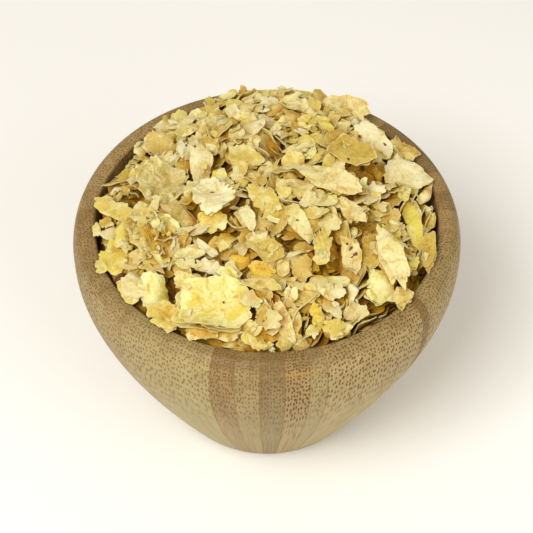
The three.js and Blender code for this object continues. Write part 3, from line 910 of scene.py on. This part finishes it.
# %% Fill the heap
for count in range(MOST_FILLERS):
    tries = random_places(40, 2.5)[:14]
    lack = (target - ground)[cells_under(tries)]
    x, y = tries[np.argmax(lack)]
    if lack.max() < FILL_SHORTFALL:
        break
    length = 5.0 + 11.0 * rng.beta(1.6, 2.2)
    room = RIM_INNER_RADIUS - math.hypot(x, y)
    length = min(length, max(4.0, 2.4 * room))
    width = length * rng.uniform(0.35, 0.85)
    row = next((row for row in ROWS if math.hypot(x - row[0], y - row[1]) < row[2]), None)
    if row and rng.uniform() < IN_ROW:
        faces, lean = row[3] + rng.normal(0, 9), row[4] + rng.normal(0, 7)
        turn = faces + 90 + rng.normal(0, 12)
        width = min(width, ROW_WIDTH)
    else:
        dx, dy = slope_under(x, y, length * 0.45)
        lean_random = rng.normal(0, 0.28, 2)
        if rng.uniform() < STEEP_SHARE:
            lean_random *= 3.0
        up = Vector((-dx * 0.85 + lean_random[0], -dy * 0.85 + lean_random[1], 1)).normalized()
        faces, lean = facing(up)
        turn = rng.uniform(0, 360)
    shape = new_shape(rng, length, width, rng.choice(FILL_STYLES))
    turned = tilt_matrix(turn, faces, lean)
    z, rim_lift = resting_height(shape, turned, x, y, "row" if row else "fill")
    too_high = stands_out(shape, turned, x, y, z, HIGHEST_TIP)
    if rim_lift > 2 * LIFTED or too_high or roofs_a_gap(shape, turned, x, y, z):
        continue
    disc = "medium" if lack.max() < NEARLY_FULL and length > SHORT else "coarse"
    kind = str(rng.choice(fill_kinds, p=fill_odds))
    lay(shape, turned, x, y, z, kind, disc)
    if disc == "medium" and not row:
        lay_sheets(shape, turned, x, y, kind)
print("small flakes:", len(heap), "of them medium:", sum(item["disc"] == "medium" for item in heap),
      "mean lack:", round(float((target - ground)[grid_r < 50].mean()), 2))

# %% [markdown]
# ## The flakes that stand out
# These are the flakes that someone would point at: the big lemon one at the front, the round one with a
# dot, the long folded band. Each is laid where it lies in the photograph, the lower ones first. The
# heap may have come out a little high or low there, so the flake slides along the line of sight until
# it rests, and still shows in its place.

# %% Table of the flakes that stand out
# name: across, back, length, width, turn, faces, lean, layer, kind, style
SHOWN = {
    "back_band": (-4, 52.5, 13, 3.6, 5, -90, 38, 1, "cream", "smooth"),
    "back_tip": (-8, 49.5, 6, 2.6, -85, -90, 62, 3, "amber", "torn"),
    "back_pale": (1, 46, 6.5, 5.5, 6, -80, 10, 1, "pale", "torn"),
    "back_edge": (11, 51, 12, 3, -10, -90, 38, 1, "cream", "smooth"),
    "left_yellow": (-28.5, 41, 7.5, 6, 83, -60, 35, 2, "lemon", "smooth"),
    "back_long": (-19, 34.5, 13, 6, 9, -100, 20, 0, "olive", "torn"),
    "back_peach": (-19, 43, 8, 5, 9, -100, 10, 1, "beige", "torn"),
    "back_cream": (8, 49, 9, 5.5, 30, -80, 12, 0, "cream", "torn"),
    "oval_dot": (0.5, 32, 9, 6.5, 0, -90, 5, 1, "pale", "smooth"),
    "bright_245": (-7, 35, 6.5, 5.5, -89, -90, 15, 0, "cream", "torn"),
    "peach_back": (8.5, 36.5, 8.5, 7.5, -41, -70, 5, 0, "beige", "torn"),
    "green_cream": (15, 43, 9, 5.5, 88, -30, 25, 1, "cream", "smooth"),
    "brown_spot": (25, 43.5, 16.5, 9.5, -19, -95, 12, 3, "beige", "rounded"),
    "cream_315": (15, 30.5, 10, 6.5, 1, -90, 10, 0, "lemon", "torn"),
    "pale_306": (12, 22, 9.5, 6, -5, -90, 0, 0, "pale", "torn"),
    "gold_behind": (43.5, 30.5, 12.5, 7.5, -44, -60, 12, 0, "amber", "torn"),
    "olive_amber": (26, 20.5, 17, 10.5, -37, -100, 10, 1, "gold", "smooth"),
    "scalloped": (33.5, 26, 16, 9.5, -44, -75, 18, 3, "pale", "scallop"),
    "folded_band": (19, 6, 22.5, 10, -19, -95, 8, 2, "beige", "arched"),
    "low_band": (10, 2, 14.5, 7.5, 11, -90, -5, 1, "beige", "torn"),
    "amber_chip": (17.5, 0.5, 5.5, 5.5, -8, -90, 20, 2, "amber", "torn"),
    "big_white": (44, 14, 17.5, 11, -10, -60, 10, 3, "pale", "arched"),
    "right_fold": (50.5, 13.5, 12, 4, -88, 170, 30, 0, "beige", "folded"),
    "right_beige": (50.5, 1, 8, 4, 81, -150, 20, 0, "beige", "torn"),
    "right_green": (49, -12, 13, 4.5, 83, -150, 15, 1, "gold", "smooth"),
    "right_yellow": (44.5, -5.5, 21.5, 6, -80, -170, 15, 2, "lemon", "arched"),
    "right_strip": (46, -18.5, 9, 3, 30, -160, 50, 1, "pale", "smooth"),
    "drop_flake": (37.5, -20, 22, 7.5, -68, -130, 18, 3, "cream", "torn"),
    "bright_375": (33, 2.5, 7.5, 6.5, 82, -90, 20, 3, "pale", "torn"),
    "deep_amber": (39, 7, 12.5, 6, -88, 180, 40, -2, "amber", "torn"),
    "peach_352": (26, -5.5, 10.5, 8, -57, -120, 10, 1, "beige", "torn"),
    "bright_chip": (13, -6.5, 7, 6, 57, -90, 20, 4, "pale", "torn"),
    "beige_dot": (9.5, -13, 14, 7, -65, -120, 15, 2, "cream", "smooth"),
    "cream_297": (9, -2, 8.5, 4.5, -7, -90, 5, 3, "cream", "torn"),
    "long_green": (-1, -3, 16, 8, -52, -110, 10, 1, "cream", "torn"),
    "pale_249": (-5.5, -11, 9.5, 5, -59, -120, 15, 2, "pale", "smooth"),
    "peach_266": (-0.5, 7, 7.5, 4, 52, -60, 15, 2, "beige", "smooth"),
    "broad_yellow": (-7, 15, 14, 11, -66, -90, 8, 1, "cream", "torn"),
    "peach_240": (-8, 8, 6, 4.5, -89, -90, 20, 2, "beige", "smooth"),
    "amber_209": (-18, 22, 8, 7, -48, -90, 15, 0, "amber", "torn"),
    "serrated": (-20, 8.5, 16.5, 8, -82, -60, 18, 3, "pale", "serrated"),
    "small_beige": (-25, 19.5, 9, 5, -73, -110, 20, 2, "pale", "torn"),
    "ragged_160": (-34, 29.5, 10.5, 9.5, -73, -100, 15, 1, "beige", "rounded"),
    "pale_162": (-34, 42, 6.5, 4, 5, -120, 10, 0, "pale", "torn"),
    "bright_142": (-40.5, 33.5, 6.5, 5.5, 5, -120, 10, 0, "cream", "torn"),
    "left_folds": (-46, 13, 12.5, 8.5, -27, -140, 30, 0, "amber", "folded"),
    "left_fan": (-47.5, 3, 15, 7, -31, -130, 10, 1, "cream", "arched"),
    "left_bright": (-49.5, -3, 6, 4.5, -4, -120, 15, 1, "cream", "torn"),
    "left_edge": (-52.5, -3, 6, 3, -74, -160, 30, 0, "cream", "torn"),
    "left_grey": (-46.5, -8, 9.5, 4.5, -2, -100, 5, 1, "pale", "smooth"),
    "left_lemon": (-45.5, -16, 15, 11.5, -50, -110, 12, 0, "lemon", "torn"),
    "left_round": (-50, -18, 5.5, 4, -82, -130, 10, 1, "gold", "smooth"),
    "crumbly": (-34, -14.5, 19, 16.5, -46, -95, 8, 0, "cream", "torn"),
    "amber_163": (-31, -9.5, 9.5, 6.5, -15, -90, 15, 1, "lemon", "torn"),
    "green_strip": (-28.5, -4.5, 18.5, 6.5, -47, -110, 15, 1, "olive", "torn"),
    "big_grey": (-33, 7.5, 18.5, 14.5, -41, -100, 15, 2, "olive", "torn"),
    "white_174": (-27.5, -20, 6.5, 4.5, 85, -90, 20, 3, "pale", "torn"),
    "cream_187": (-23.5, -25, 5.5, 5, -11, -90, 20, 2, "cream", "torn"),
    "yellow_round": (-16, -12, 9.5, 8.5, -63, -95, 18, 2, "lemon", "rounded"),
    "round_dot": (-16, -4, 13, 12, 52, -95, 15, 4, "pale", "rounded"),
    "pale_strip": (-18, -21, 9, 3, -44, -110, 10, 2, "pale", "smooth"),
    "beige_224": (-12.5, -18.5, 7.5, 6, 49, -90, 10, 1, "cream", "torn"),
    "olive_gold": (0.5, -21, 11.5, 8.5, -34, -90, 5, 0, "gold", "smooth"),
    "golden_left": (-8, -26.5, 7.5, 6, 17, -80, 15, 2, "golden", "torn"),
    "golden_right": (-1.5, -29.5, 10.5, 6.5, -6, -90, 18, 2, "golden", "torn"),
    "crescent_a": (-1.5, -32.5, 13.5, 4.5, 2, -90, 35, 1, "beige", "crescent"),
    "crescent_b": (5.5, -32.5, 11, 5.5, 6, -80, 30, 0, "beige", "crescent"),
    "grey_green": (-16.5, -27.5, 11, 6, -29, -100, 10, 2, "pale", "torn"),
    "yellow_228": (-11, -29.5, 8, 5.5, -28, -90, 10, 1, "lemon", "torn"),
    "peach_185": (-24, -30, 7.5, 5.5, -1, -90, 20, 2, "cream", "torn"),
    "white_left": (-39.5, -27.5, 11, 9, -48, -120, 15, 1, "pale", "torn"),
    "puff_upper": (-33, -31.5, 11, 9.5, -53, -110, 20, 2, "lemon", "puffy"),
    "puff_lower": (-29, -39.5, 11, 9, -37, -100, 20, 3, "cream", "puffy"),
    "husk": (-43.5, -25.5, 4.6, 2.2, 52, -130, 20, 3, "husk", "torn"),
    "big_lemon": (-15.5, -38.5, 22.5, 18, -6, -92, 12, 3, "lemon", "rounded"),
    "lemon_lobe": (-5, -39, 6.5, 6, 57, -90, 20, 4, "pale", "torn"),
    "grey_triangle": (10, -27.5, 9, 6, -86, -90, 25, 2, "beige", "torn"),
    "cream_322": (16.5, -18, 12, 6, 85, -90, 15, 1, "cream", "torn"),
    "cream_321": (16, -24, 6, 6, 76, -90, 20, 2, "cream", "smooth"),
    "speck_flake": (25, -21, 14.5, 7, -84, -90, 12, 1, "beige", "torn"),
    "olive_370": (31, -19, 14, 5.5, 87, -60, 12, 1, "gold", "smooth"),
    "beige_323": (16.5, -33, 11.5, 5.5, -61, -110, 15, 2, "beige", "smooth"),
    "white_337": (20.5, -34.5, 5.5, 5, -72, -90, 15, 3, "pale", "torn"),
    "amber_305": (11, -34, 9.5, 7.5, -11, -90, 25, 0, "gold", "smooth"),
    "amber_316": (14, -41.5, 10, 4, -81, -90, 30, 2, "golden", "torn"),
    "beige_strip": (5, -44, 15, 5, -73, -110, 25, 3, "beige", "smooth"),
    "beige_293": (8, -42.5, 8, 4.5, -81, -80, 30, 1, "amber", "smooth"),
    "peach_267": (0, -45.5, 8.5, 7.5, -60, -95, 35, 1, "beige", "arched"),
    "peach_265": (-1, -40.5, 6, 5.5, 0, -90, 25, 1, "amber", "torn"),
    "pale_335": (19.5, -43.5, 8.5, 6, 16, -70, 35, 1, "cream", "torn"),
    "bright_356": (26, -39, 8, 6.5, 29, -70, 25, 2, "pale", "torn"),
    "lemon_380": (33.5, -29, 12.5, 9, 69, -70, 20, 1, "lemon", "torn"),
    "speckled_401": (39.5, -31.5, 8, 6.5, 31, -50, 25, 2, "amber", "torn"),
    "front_point": (-12.5, -45.5, 13.5, 5, -13, -95, 25, 1, "cream", "torn"),
    "front_peach": (-19.5, -45, 10.5, 6, -17, -100, 25, 1, "cream", "torn"),
    "front_255": (-3, -48.5, 6, 4.5, -30, -90, 35, 0, "beige", "torn"),
}
print("flakes that stand out:", len(SHOWN))


# %% Lay them where they show
def slide_along_sight(x, y, z, new_z):
    """The place at height new_z that the camera sees where it saw x, y, z."""
    eye = np.array(EYE)
    spot = np.array([x, y, z])
    ray = spot - eye
    return spot + ray * (new_z - z) / ray[2]


UNDER_KINDS = {"cream": "beige", "lemon": "cream", "pale": "cream", "beige": "gold", "gold": "amber",
               "golden": "gold", "amber": "gold", "olive": "amber", "husk": "beige"}
# Lengths in millimetres from which a flake gets the grandest disc, and from which it lies on sheets.
LARGE = 10.0
LAYERED = 7
# The ones at the very back lie on the rim, and have no sheets under them.
ON_THE_RIM = 45
# These are nearer to the pale tone of their kind than chance would make them.
PALEST = ("big_lemon", "round_dot", "scalloped", "big_white", "drop_flake", "beige_dot", "oval_dot")

for name, row in sorted(SHOWN.items(), key=lambda item: item[1][7]):
    across, back, length, width, turn, faces, lean, layer, kind, style = row
    seen = np.array([across, back, float(heap_top(across, back)) + layer])
    # A large flake often lies on sheets that came with it, which show as thin edges on the viewer's side.
    sheets = 0
    if length > LAYERED and layer > 0:
        sheets = int(rng.choice([0, 1, 2, 3], p=[0.25, 0.35, 0.25, 0.15]))
    if back > ON_THE_RIM:
        sheets = 0
    whole = new_shape(rng, length, width, style)
    heading, step = rng.uniform(-2.6, -0.5), rng.uniform(0.5, 1.1)
    for sheet in range(sheets, -1, -1):
        shape = torn_off(rng, whole) if sheet else whole
        turned = tilt_matrix(turn + (rng.normal(0, 7) if sheet else 0), faces, lean)
        start = seen + sheet * step * np.array([math.cos(heading), math.sin(heading), 0])
        x, y, z = start
        for attempt in range(4):
            z_rest, rim_lift = resting_height(shape, turned, x, y, "shown")
            x, y, z = slide_along_sight(*start, z_rest)
        under = UNDER_KINDS[kind] if sheet % 2 else kind
        lay(shape, turned, x, y, z_rest, under if sheet else kind,
            "sheet" if sheet else "grand" if length > LARGE else "fine", layer > 0 and not sheet)
    if name in PALEST:
        heap[-1]["chance"][2] *= 0.5
print("flakes and sheets so far:", len(heap))

# %% Note where they are in sight
# Later flakes keep off the cells where one that stands out lies on top, within this many millimetres.
ON_TOP = 0.5

in_sight = np.zeros(target.shape)
for flake in heap:
    if flake["shown"]:
        spots, under = spots_and_cells(flake["shape"], flake["turned"], *flake["place"])
        on_top = ground[under] - spots[:, 2] < ON_TOP
        in_sight[cells_under(spots[on_top])] = 1.0
in_sight = evened(in_sight, 1) > 0.25
print("share of the heap's top that the flakes that stand out cover:", round(in_sight[inside].mean(), 2))

# %% [markdown]
# Bits of the chestnut's brown skin were rolled in with a few flakes: a dark sliver at the back, small
# dots on single flakes, and one cluster of them. They lie in the surface of the flake that shows them.

# %% Bits of brown skin
# across, back, length, width, turn
SKIN = [(3, 29, 1.2, 0.9, 0), (-3, 34, 4.2, 1.8, 8), (29, 25, 1.3, 0.9, -20), (37, 24.5, 1.4, 0.8, -15),
        (-16.5, -3, 1.5, 0.9, 10), (9, -14, 1.1, 0.7, -30), (-25, 19.5, 0.9, 0.7, 0),
        (24.5, -22, 1.7, 1.2, 50), (26, -23.5, 1.3, 1.0, 10), (25, -24.5, 1.0, 0.8, -40),
        (23.5, -20.5, 0.8, 0.6, 0), (-12.5, -39.5, 0.7, 0.6, 0), (25, 12.5, 0.9, 0.7, 30)]
# How thick a bit is, and how far its top lies above the flake's surface.
SKIN_THICKNESS = 0.35
PROUD = 0.22

for across, back, length, width, turn in SKIN:
    shape = new_shape(rng, length, width, "smooth")
    shape["thick"] = SKIN_THICKNESS
    shape["ripples"] *= 0.0
    shape["folds"] = []
    start = np.array([across, back, float(heap_top(across, back)) + 4])
    x, y, z = start
    for attempt in range(5):
        x, y, z = slide_along_sight(*start, float(ground[cells_under(np.array([[x, y]]))][0]))
    dx, dy = slope_under(x, y, 2.0)
    lean = math.degrees(math.atan(math.hypot(dx, dy)))
    turned = tilt_matrix(turn, math.degrees(math.atan2(-dy, -dx)), lean)
    lay(shape, turned, x, y, z + PROUD, "husk", "coarse")
print("bits of skin:", len(SKIN))

# %% [markdown]
# ## Flakes in the hollows
# Between the large flakes there are hollows now. In a real heap smaller flakes slip into them and come
# to rest at all angles, so some more are laid wherever the heap is lower than it is all round.

# %% Fill the hollows
HOLLOW_FLAKES = 420
LEAST_HOLLOW = 0.9
# A flake in a hollow may hide this share of itself in front of one that stands out, lie this much higher
# than the heap round it, and reach this far above the heap's own height.
MOST_HIDDEN = 0.15
HIGHEST_MIDDLE = 0.9
HIGHEST_HOLLOW_TIP = 6.0
# A closed cell counts as this much less hollow, and a flake that won't fit closes the cells round it.
CLOSED = 9
CLOSED_RADIUS = 0.8

laid = 0
closed = in_gap | in_sight
for count in range(4 * HOLLOW_FLAKES):
    if count % 30 == 0:
        around = surroundings(5)
    tries = random_places(60, 2.0)
    hollow = (around - ground - CLOSED * closed)[cells_under(tries)]
    x, y = tries[np.argmax(hollow)]
    if hollow.max() < LEAST_HOLLOW or laid >= HOLLOW_FLAKES:
        continue
    length = 4.2 + 7.8 * rng.beta(1.4, 2.0)
    shape = new_shape(rng, length, length * rng.uniform(0.4, 0.8), rng.choice(FILL_STYLES))
    lean, faces = min(abs(rng.normal(0, 28)), 50), rng.uniform(0, 360)
    turned = tilt_matrix(rng.uniform(0, 360), faces, lean)
    z, rim_lift = resting_height(shape, turned, x, y, "hollow")
    spots, under = spots_and_cells(shape, turned, x, y, z)
    hides = (in_sight[under] & (spots[:, 2] > ground[under])).mean() > MOST_HIDDEN
    too_high = z > around[cells_under(np.array([[x, y]]))][0] + HIGHEST_MIDDLE
    too_high |= stands_out(shape, turned, x, y, z, HIGHEST_HOLLOW_TIP)
    if rim_lift > LIFTED or hides or too_high or roofs_a_gap(shape, turned, x, y, z):
        closed |= np.hypot(grid_x - x, grid_y - y) < CLOSED_RADIUS
        continue
    lay(shape, turned, x, y, z, str(rng.choice(fill_kinds, p=fill_odds)), "medium")
    laid += 1
print("flakes in the hollows:", laid)

# %% [markdown]
# ## Crumbs
# Flakes break as they are poured, so crumbs and splinters a few millimetres long lie on top. At the left
# of the middle one flake has crumbled where it lies, and every fourth crumb goes there.

# %% Crumbs
CRUMBS = 200
# Across, back and the size of the crumbled patch.
CRUMBLY = (-33.5, -16, 7)
# How much a crumb shuns the flakes that stand out, and how often it has the colour of the nearest one.
KEEP_OFF = 1.5
BY_ITS_FLAKE = 0.6
around = surroundings(3)
large = [flake for flake in heap if flake["disc"] in ("fine", "grand") and flake["kind"] != "husk"]
for count in range(CRUMBS):
    tries = random_places(12, 2.0)
    lack = (around - ground - KEEP_OFF * in_sight)[cells_under(tries)]
    x, y = tries[np.argmax(lack + rng.normal(0, 1, len(tries)))]
    if count % 4 == 0:
        x, y = np.array(CRUMBLY[:2]) + rng.normal(0, CRUMBLY[2] / 2, 2)
    length = 1.6 + 3.6 * rng.uniform() ** 1.5
    shape = new_shape(rng, length, length * rng.uniform(0.25, 0.8), "torn")
    shape["thick"] *= 0.7
    shape["ripples"] *= 0.5
    dx, dy = slope_under(x, y, 1.6)
    up = Vector((-dx + rng.normal(0, 0.35), -dy + rng.normal(0, 0.35), 1)).normalized()
    turned = tilt_matrix(rng.uniform(0, 360), *facing(up))
    z, rim_lift = resting_height(shape, turned, x, y, "crumb")
    # A crumb mostly lies by the flake that it broke from.
    near = min(large, key=lambda flake: math.hypot(flake["place"][0] - x, flake["place"][1] - y))
    kind = near["kind"] if rng.uniform() < BY_ITS_FLAKE else str(rng.choice(fill_kinds, p=fill_odds))
    if rim_lift < LIFTED and kind != "husk" and not roofs_a_gap(shape, turned, x, y, z):
        lay(shape, turned, x, y, z, kind, "coarse")
print("flakes, sheets and crumbs in all:", len(heap))

# %% [markdown]
# ## One mesh for each kind of flake
# Hundreds of loose objects would be slow and hard to handle, so all flakes of one kind are joined in one
# mesh. Each keeps a map of its own surface in millimetres, moved to a patch of its own, for the crackle
# and stains, and a second map with its tone and how near each point is to the torn edge. A third map
# says how far each point lies below the heap around it, for painted shade: light that gets down there has
# passed through and between many flakes and comes back golden brown, and that colour is painted on.

# %% Join the flakes of each kind
# How far apart, in millimetres, the patches of the flakes and their two sides lie in the pattern.
PATCHES = 600
OTHER_SIDE = 40
SHARP_EDGE = math.radians(50)
around = surroundings(3)


def joined_mesh(name, flakes):
    corners, faces, surface, look, shade = [], [], [], [], []
    count = 0
    for flake in flakes:
        disc = DISCS[flake["disc"]]
        local = form(flake["shape"], disc["share"], disc["angle"], disc["layer"])
        placed = local @ flake["turned"].T + flake["place"]
        corners.append(placed * TO_METRES)
        below = around[cells_under(placed)] - placed[:, 2]
        shade.append(np.stack([below, np.zeros(len(local))], axis=1))
        faces.extend([[count + i for i in face] for face in disc["faces"]])
        count += len(local)
        surface.append(local[:, :2] + flake["chance"][:2] * PATCHES + disc["layer"][:, None] * OTHER_SIDE)
        look.append(np.stack([disc["share"], np.full(len(local), flake["chance"][2])], axis=1))
    mesh = bpy.data.meshes.new(name)
    mesh.from_pydata(np.concatenate(corners).tolist(), [], faces)
    mesh.polygons.foreach_set("use_smooth", np.ones(len(mesh.polygons), dtype=bool))
    point_of_corner = np.zeros(len(mesh.loops), dtype=np.int32)
    mesh.loops.foreach_get("vertex_index", point_of_corner)
    for map_name, values in (("surface", surface), ("look", look), ("shade", shade)):
        layer = mesh.uv_layers.new(name=map_name)
        values = np.concatenate(values)[point_of_corner]
        layer.uv.foreach_set("vector", values.astype(np.float32).ravel())
    mesh.validate()
    mesh.set_sharp_from_angle(angle=SHARP_EDGE)
    return mesh


print("flakes of each kind:", {kind: sum(flake["kind"] == kind for flake in heap) for kind in UNDER_KINDS})

# %% [markdown]
# ## The finish of the flakes
# Cooked, rolled and dried chestnut is dense starch: matt, a little waxy, and so thin that light glows
# through it. Its colour runs from chalky cream to straw and, where the sugar has browned, to amber.
# Fine cracks craze the dry surface, stains spread in soft blots, and the freshly torn edge is paler, made
# paler still by a painted highlight.

# %% Finish of the flakes
FLAKE_COLOURS = {
    # pale tone, deep tone, stain, and how much of the flake is stained
    "cream": ("#e3d8a0", "#d2bc60", "#c6a23e", 0.32),
    "lemon": ("#e6e0a4", "#dac95e", "#c8a636", 0.36),
    "pale": ("#e4dcb4", "#d6c88e", "#c8ac54", 0.20),
    "beige": ("#e2d59c", "#ccb262", "#b68e3c", 0.35),
    "gold": ("#d5c47a", "#c2a84c", "#ac862c", 0.40),
    "golden": ("#e2cc62", "#d8b236", "#bf8a1e", 0.45),
    "amber": ("#d6c480", "#c0a04c", "#a07626", 0.50),
    "olive": ("#d6cc98", "#b6a458", "#8e742e", 0.35),
    "husk": ("#7d4a3a", "#56302a", "#361c16", 0.50),
}
# The torn edge's own paler colour, lightened further as a painted highlight.
TORN_EDGE_AND_HIGHLIGHT = "#f5e4a8"


def dried_chestnut(kind):
    pale, deep, stain, amount = FLAKE_COLOURS[kind]
    material, tree, shader = new_material(f"dried chestnut starch, {kind}")
    surface = add(tree, "UVMap", uv_map="surface")
    look = add(tree, "SeparateXYZ", [add(tree, "UVMap", uv_map="look")])
    edge, chance = look.outputs[0], look.outputs[1]
    below = add(tree, "SeparateXYZ", [add(tree, "UVMap", uv_map="shade")])

    # Broad and fine mottling, moved towards pale or deep by the flake's own chance.
    broad = add(tree, "TexNoise", {"Vector": surface, "Scale": 0.20, "Detail": 4.0, "Roughness": 0.6,
                                   "Distortion": 0.7}, noise_dimensions="2D")
    fine = add(tree, "TexNoise", {"Vector": surface, "Scale": 1.4, "Detail": 5.0, "Roughness": 0.6},
               noise_dimensions="2D")
    level = add(tree, "Math", [fine, 0.35, broad], operation="MULTIPLY_ADD")
    level = add(tree, "Math", [chance, 0.30, level], operation="MULTIPLY_ADD")
    mottle = add(tree, "MapRange", [level, 0.66, 0.98], interpolation_type="SMOOTHSTEP")
    colour = add(tree, "Mix", {0: mottle, 6: pale, 7: deep}, data_type="RGBA").outputs[2]

    # Stains where the sugar has browned, in soft blots.
    blots = add(tree, "TexNoise", {"Vector": surface, "Scale": 0.30, "Detail": 3.0, "Distortion": 0.6},
                noise_dimensions="2D")
    blot = add(tree, "MapRange", [blots, 0.62 - 0.22 * amount, 0.84 - 0.18 * amount, 0.0, 0.85],
               interpolation_type="SMOOTHSTEP")
    colour = add(tree, "Mix", {0: blot, 6: colour, 7: stain}, data_type="RGBA").outputs[2]

    # Fine cracks in the dry skin, and the paler torn edge: partly its own colour, partly a painted highlight.
    cracks = add(tree, "TexVoronoi", {"Vector": surface, "Scale": 0.55}, voronoi_dimensions="2D",
                 feature="DISTANCE_TO_EDGE")
    crack = add(tree, "MapRange", [cracks, 0.0, 0.07, 1.0, 0.0])
    where = add(tree, "MapRange", [fine, 0.50, 0.62])
    crack = add(tree, "Math", [crack, where], operation="MULTIPLY")
    # Painted highlight on top of the torn edge's own paler colour: the edge ring is lightened.
    torn = add(tree, "MapRange", [edge, 0.95, 1.0, 0.0, 0.7], interpolation_type="SMOOTHSTEP")
    colour = add(tree, "Mix", {0: torn, 6: colour, 7: pale if kind == "husk" else TORN_EDGE_AND_HIGHLIGHT},
                 data_type="RGBA").outputs[2]

    # Painted shade: golden, and then brown, where the point lies deep between the other flakes.
    deep_down = add(tree, "MapRange", [below, 0.0, 5.0])
    painted_shade_tint = add(tree, "ValToRGB", [deep_down], stops=[(0.0, "#ffffff"), (0.40, "#e6c258"), (1.0, "#c09838")])
    colour = add(tree, "Mix", {0: 1.0, 6: colour, 7: painted_shade_tint}, data_type="RGBA",
                 blend_type="MULTIPLY").outputs[2]

    # A matt, lumpy skin that lets some light through.
    rough = add(tree, "MapRange", [fine, 0.3, 0.7, 0.45, 0.75])
    lumps = add(tree, "TexNoise", {"Vector": surface, "Scale": 0.42, "Detail": 2.0, "Distortion": 0.4},
                noise_dimensions="2D")
    relief = add(tree, "Math", [crack, -1.0, fine], operation="MULTIPLY_ADD")
    relief = add(tree, "Math", [lumps, 1.4, relief], operation="MULTIPLY_ADD")
    bump = add(tree, "Bump", {"Height": relief, "Distance": 0.0003, "Strength": 0.7})
    put(tree, shader, {"Base Color": colour, "Roughness": rough, "Normal": bump, "IOR": 1.47,
                       "Specular IOR Level": 0.25, "Subsurface Weight": 0.50,
                       "Subsurface Radius": (1.0, 0.75, 0.30), "Subsurface Scale": 0.0010})
    return material


for kind in FLAKE_COLOURS:
    flakes = [flake for flake in heap if flake["kind"] == kind]
    if flakes:
        finish_piece(joined_mesh(f"flakes_{kind}", flakes), f"flakes_{kind}", dried_chestnut(kind),
                     "chestnut_flakes")
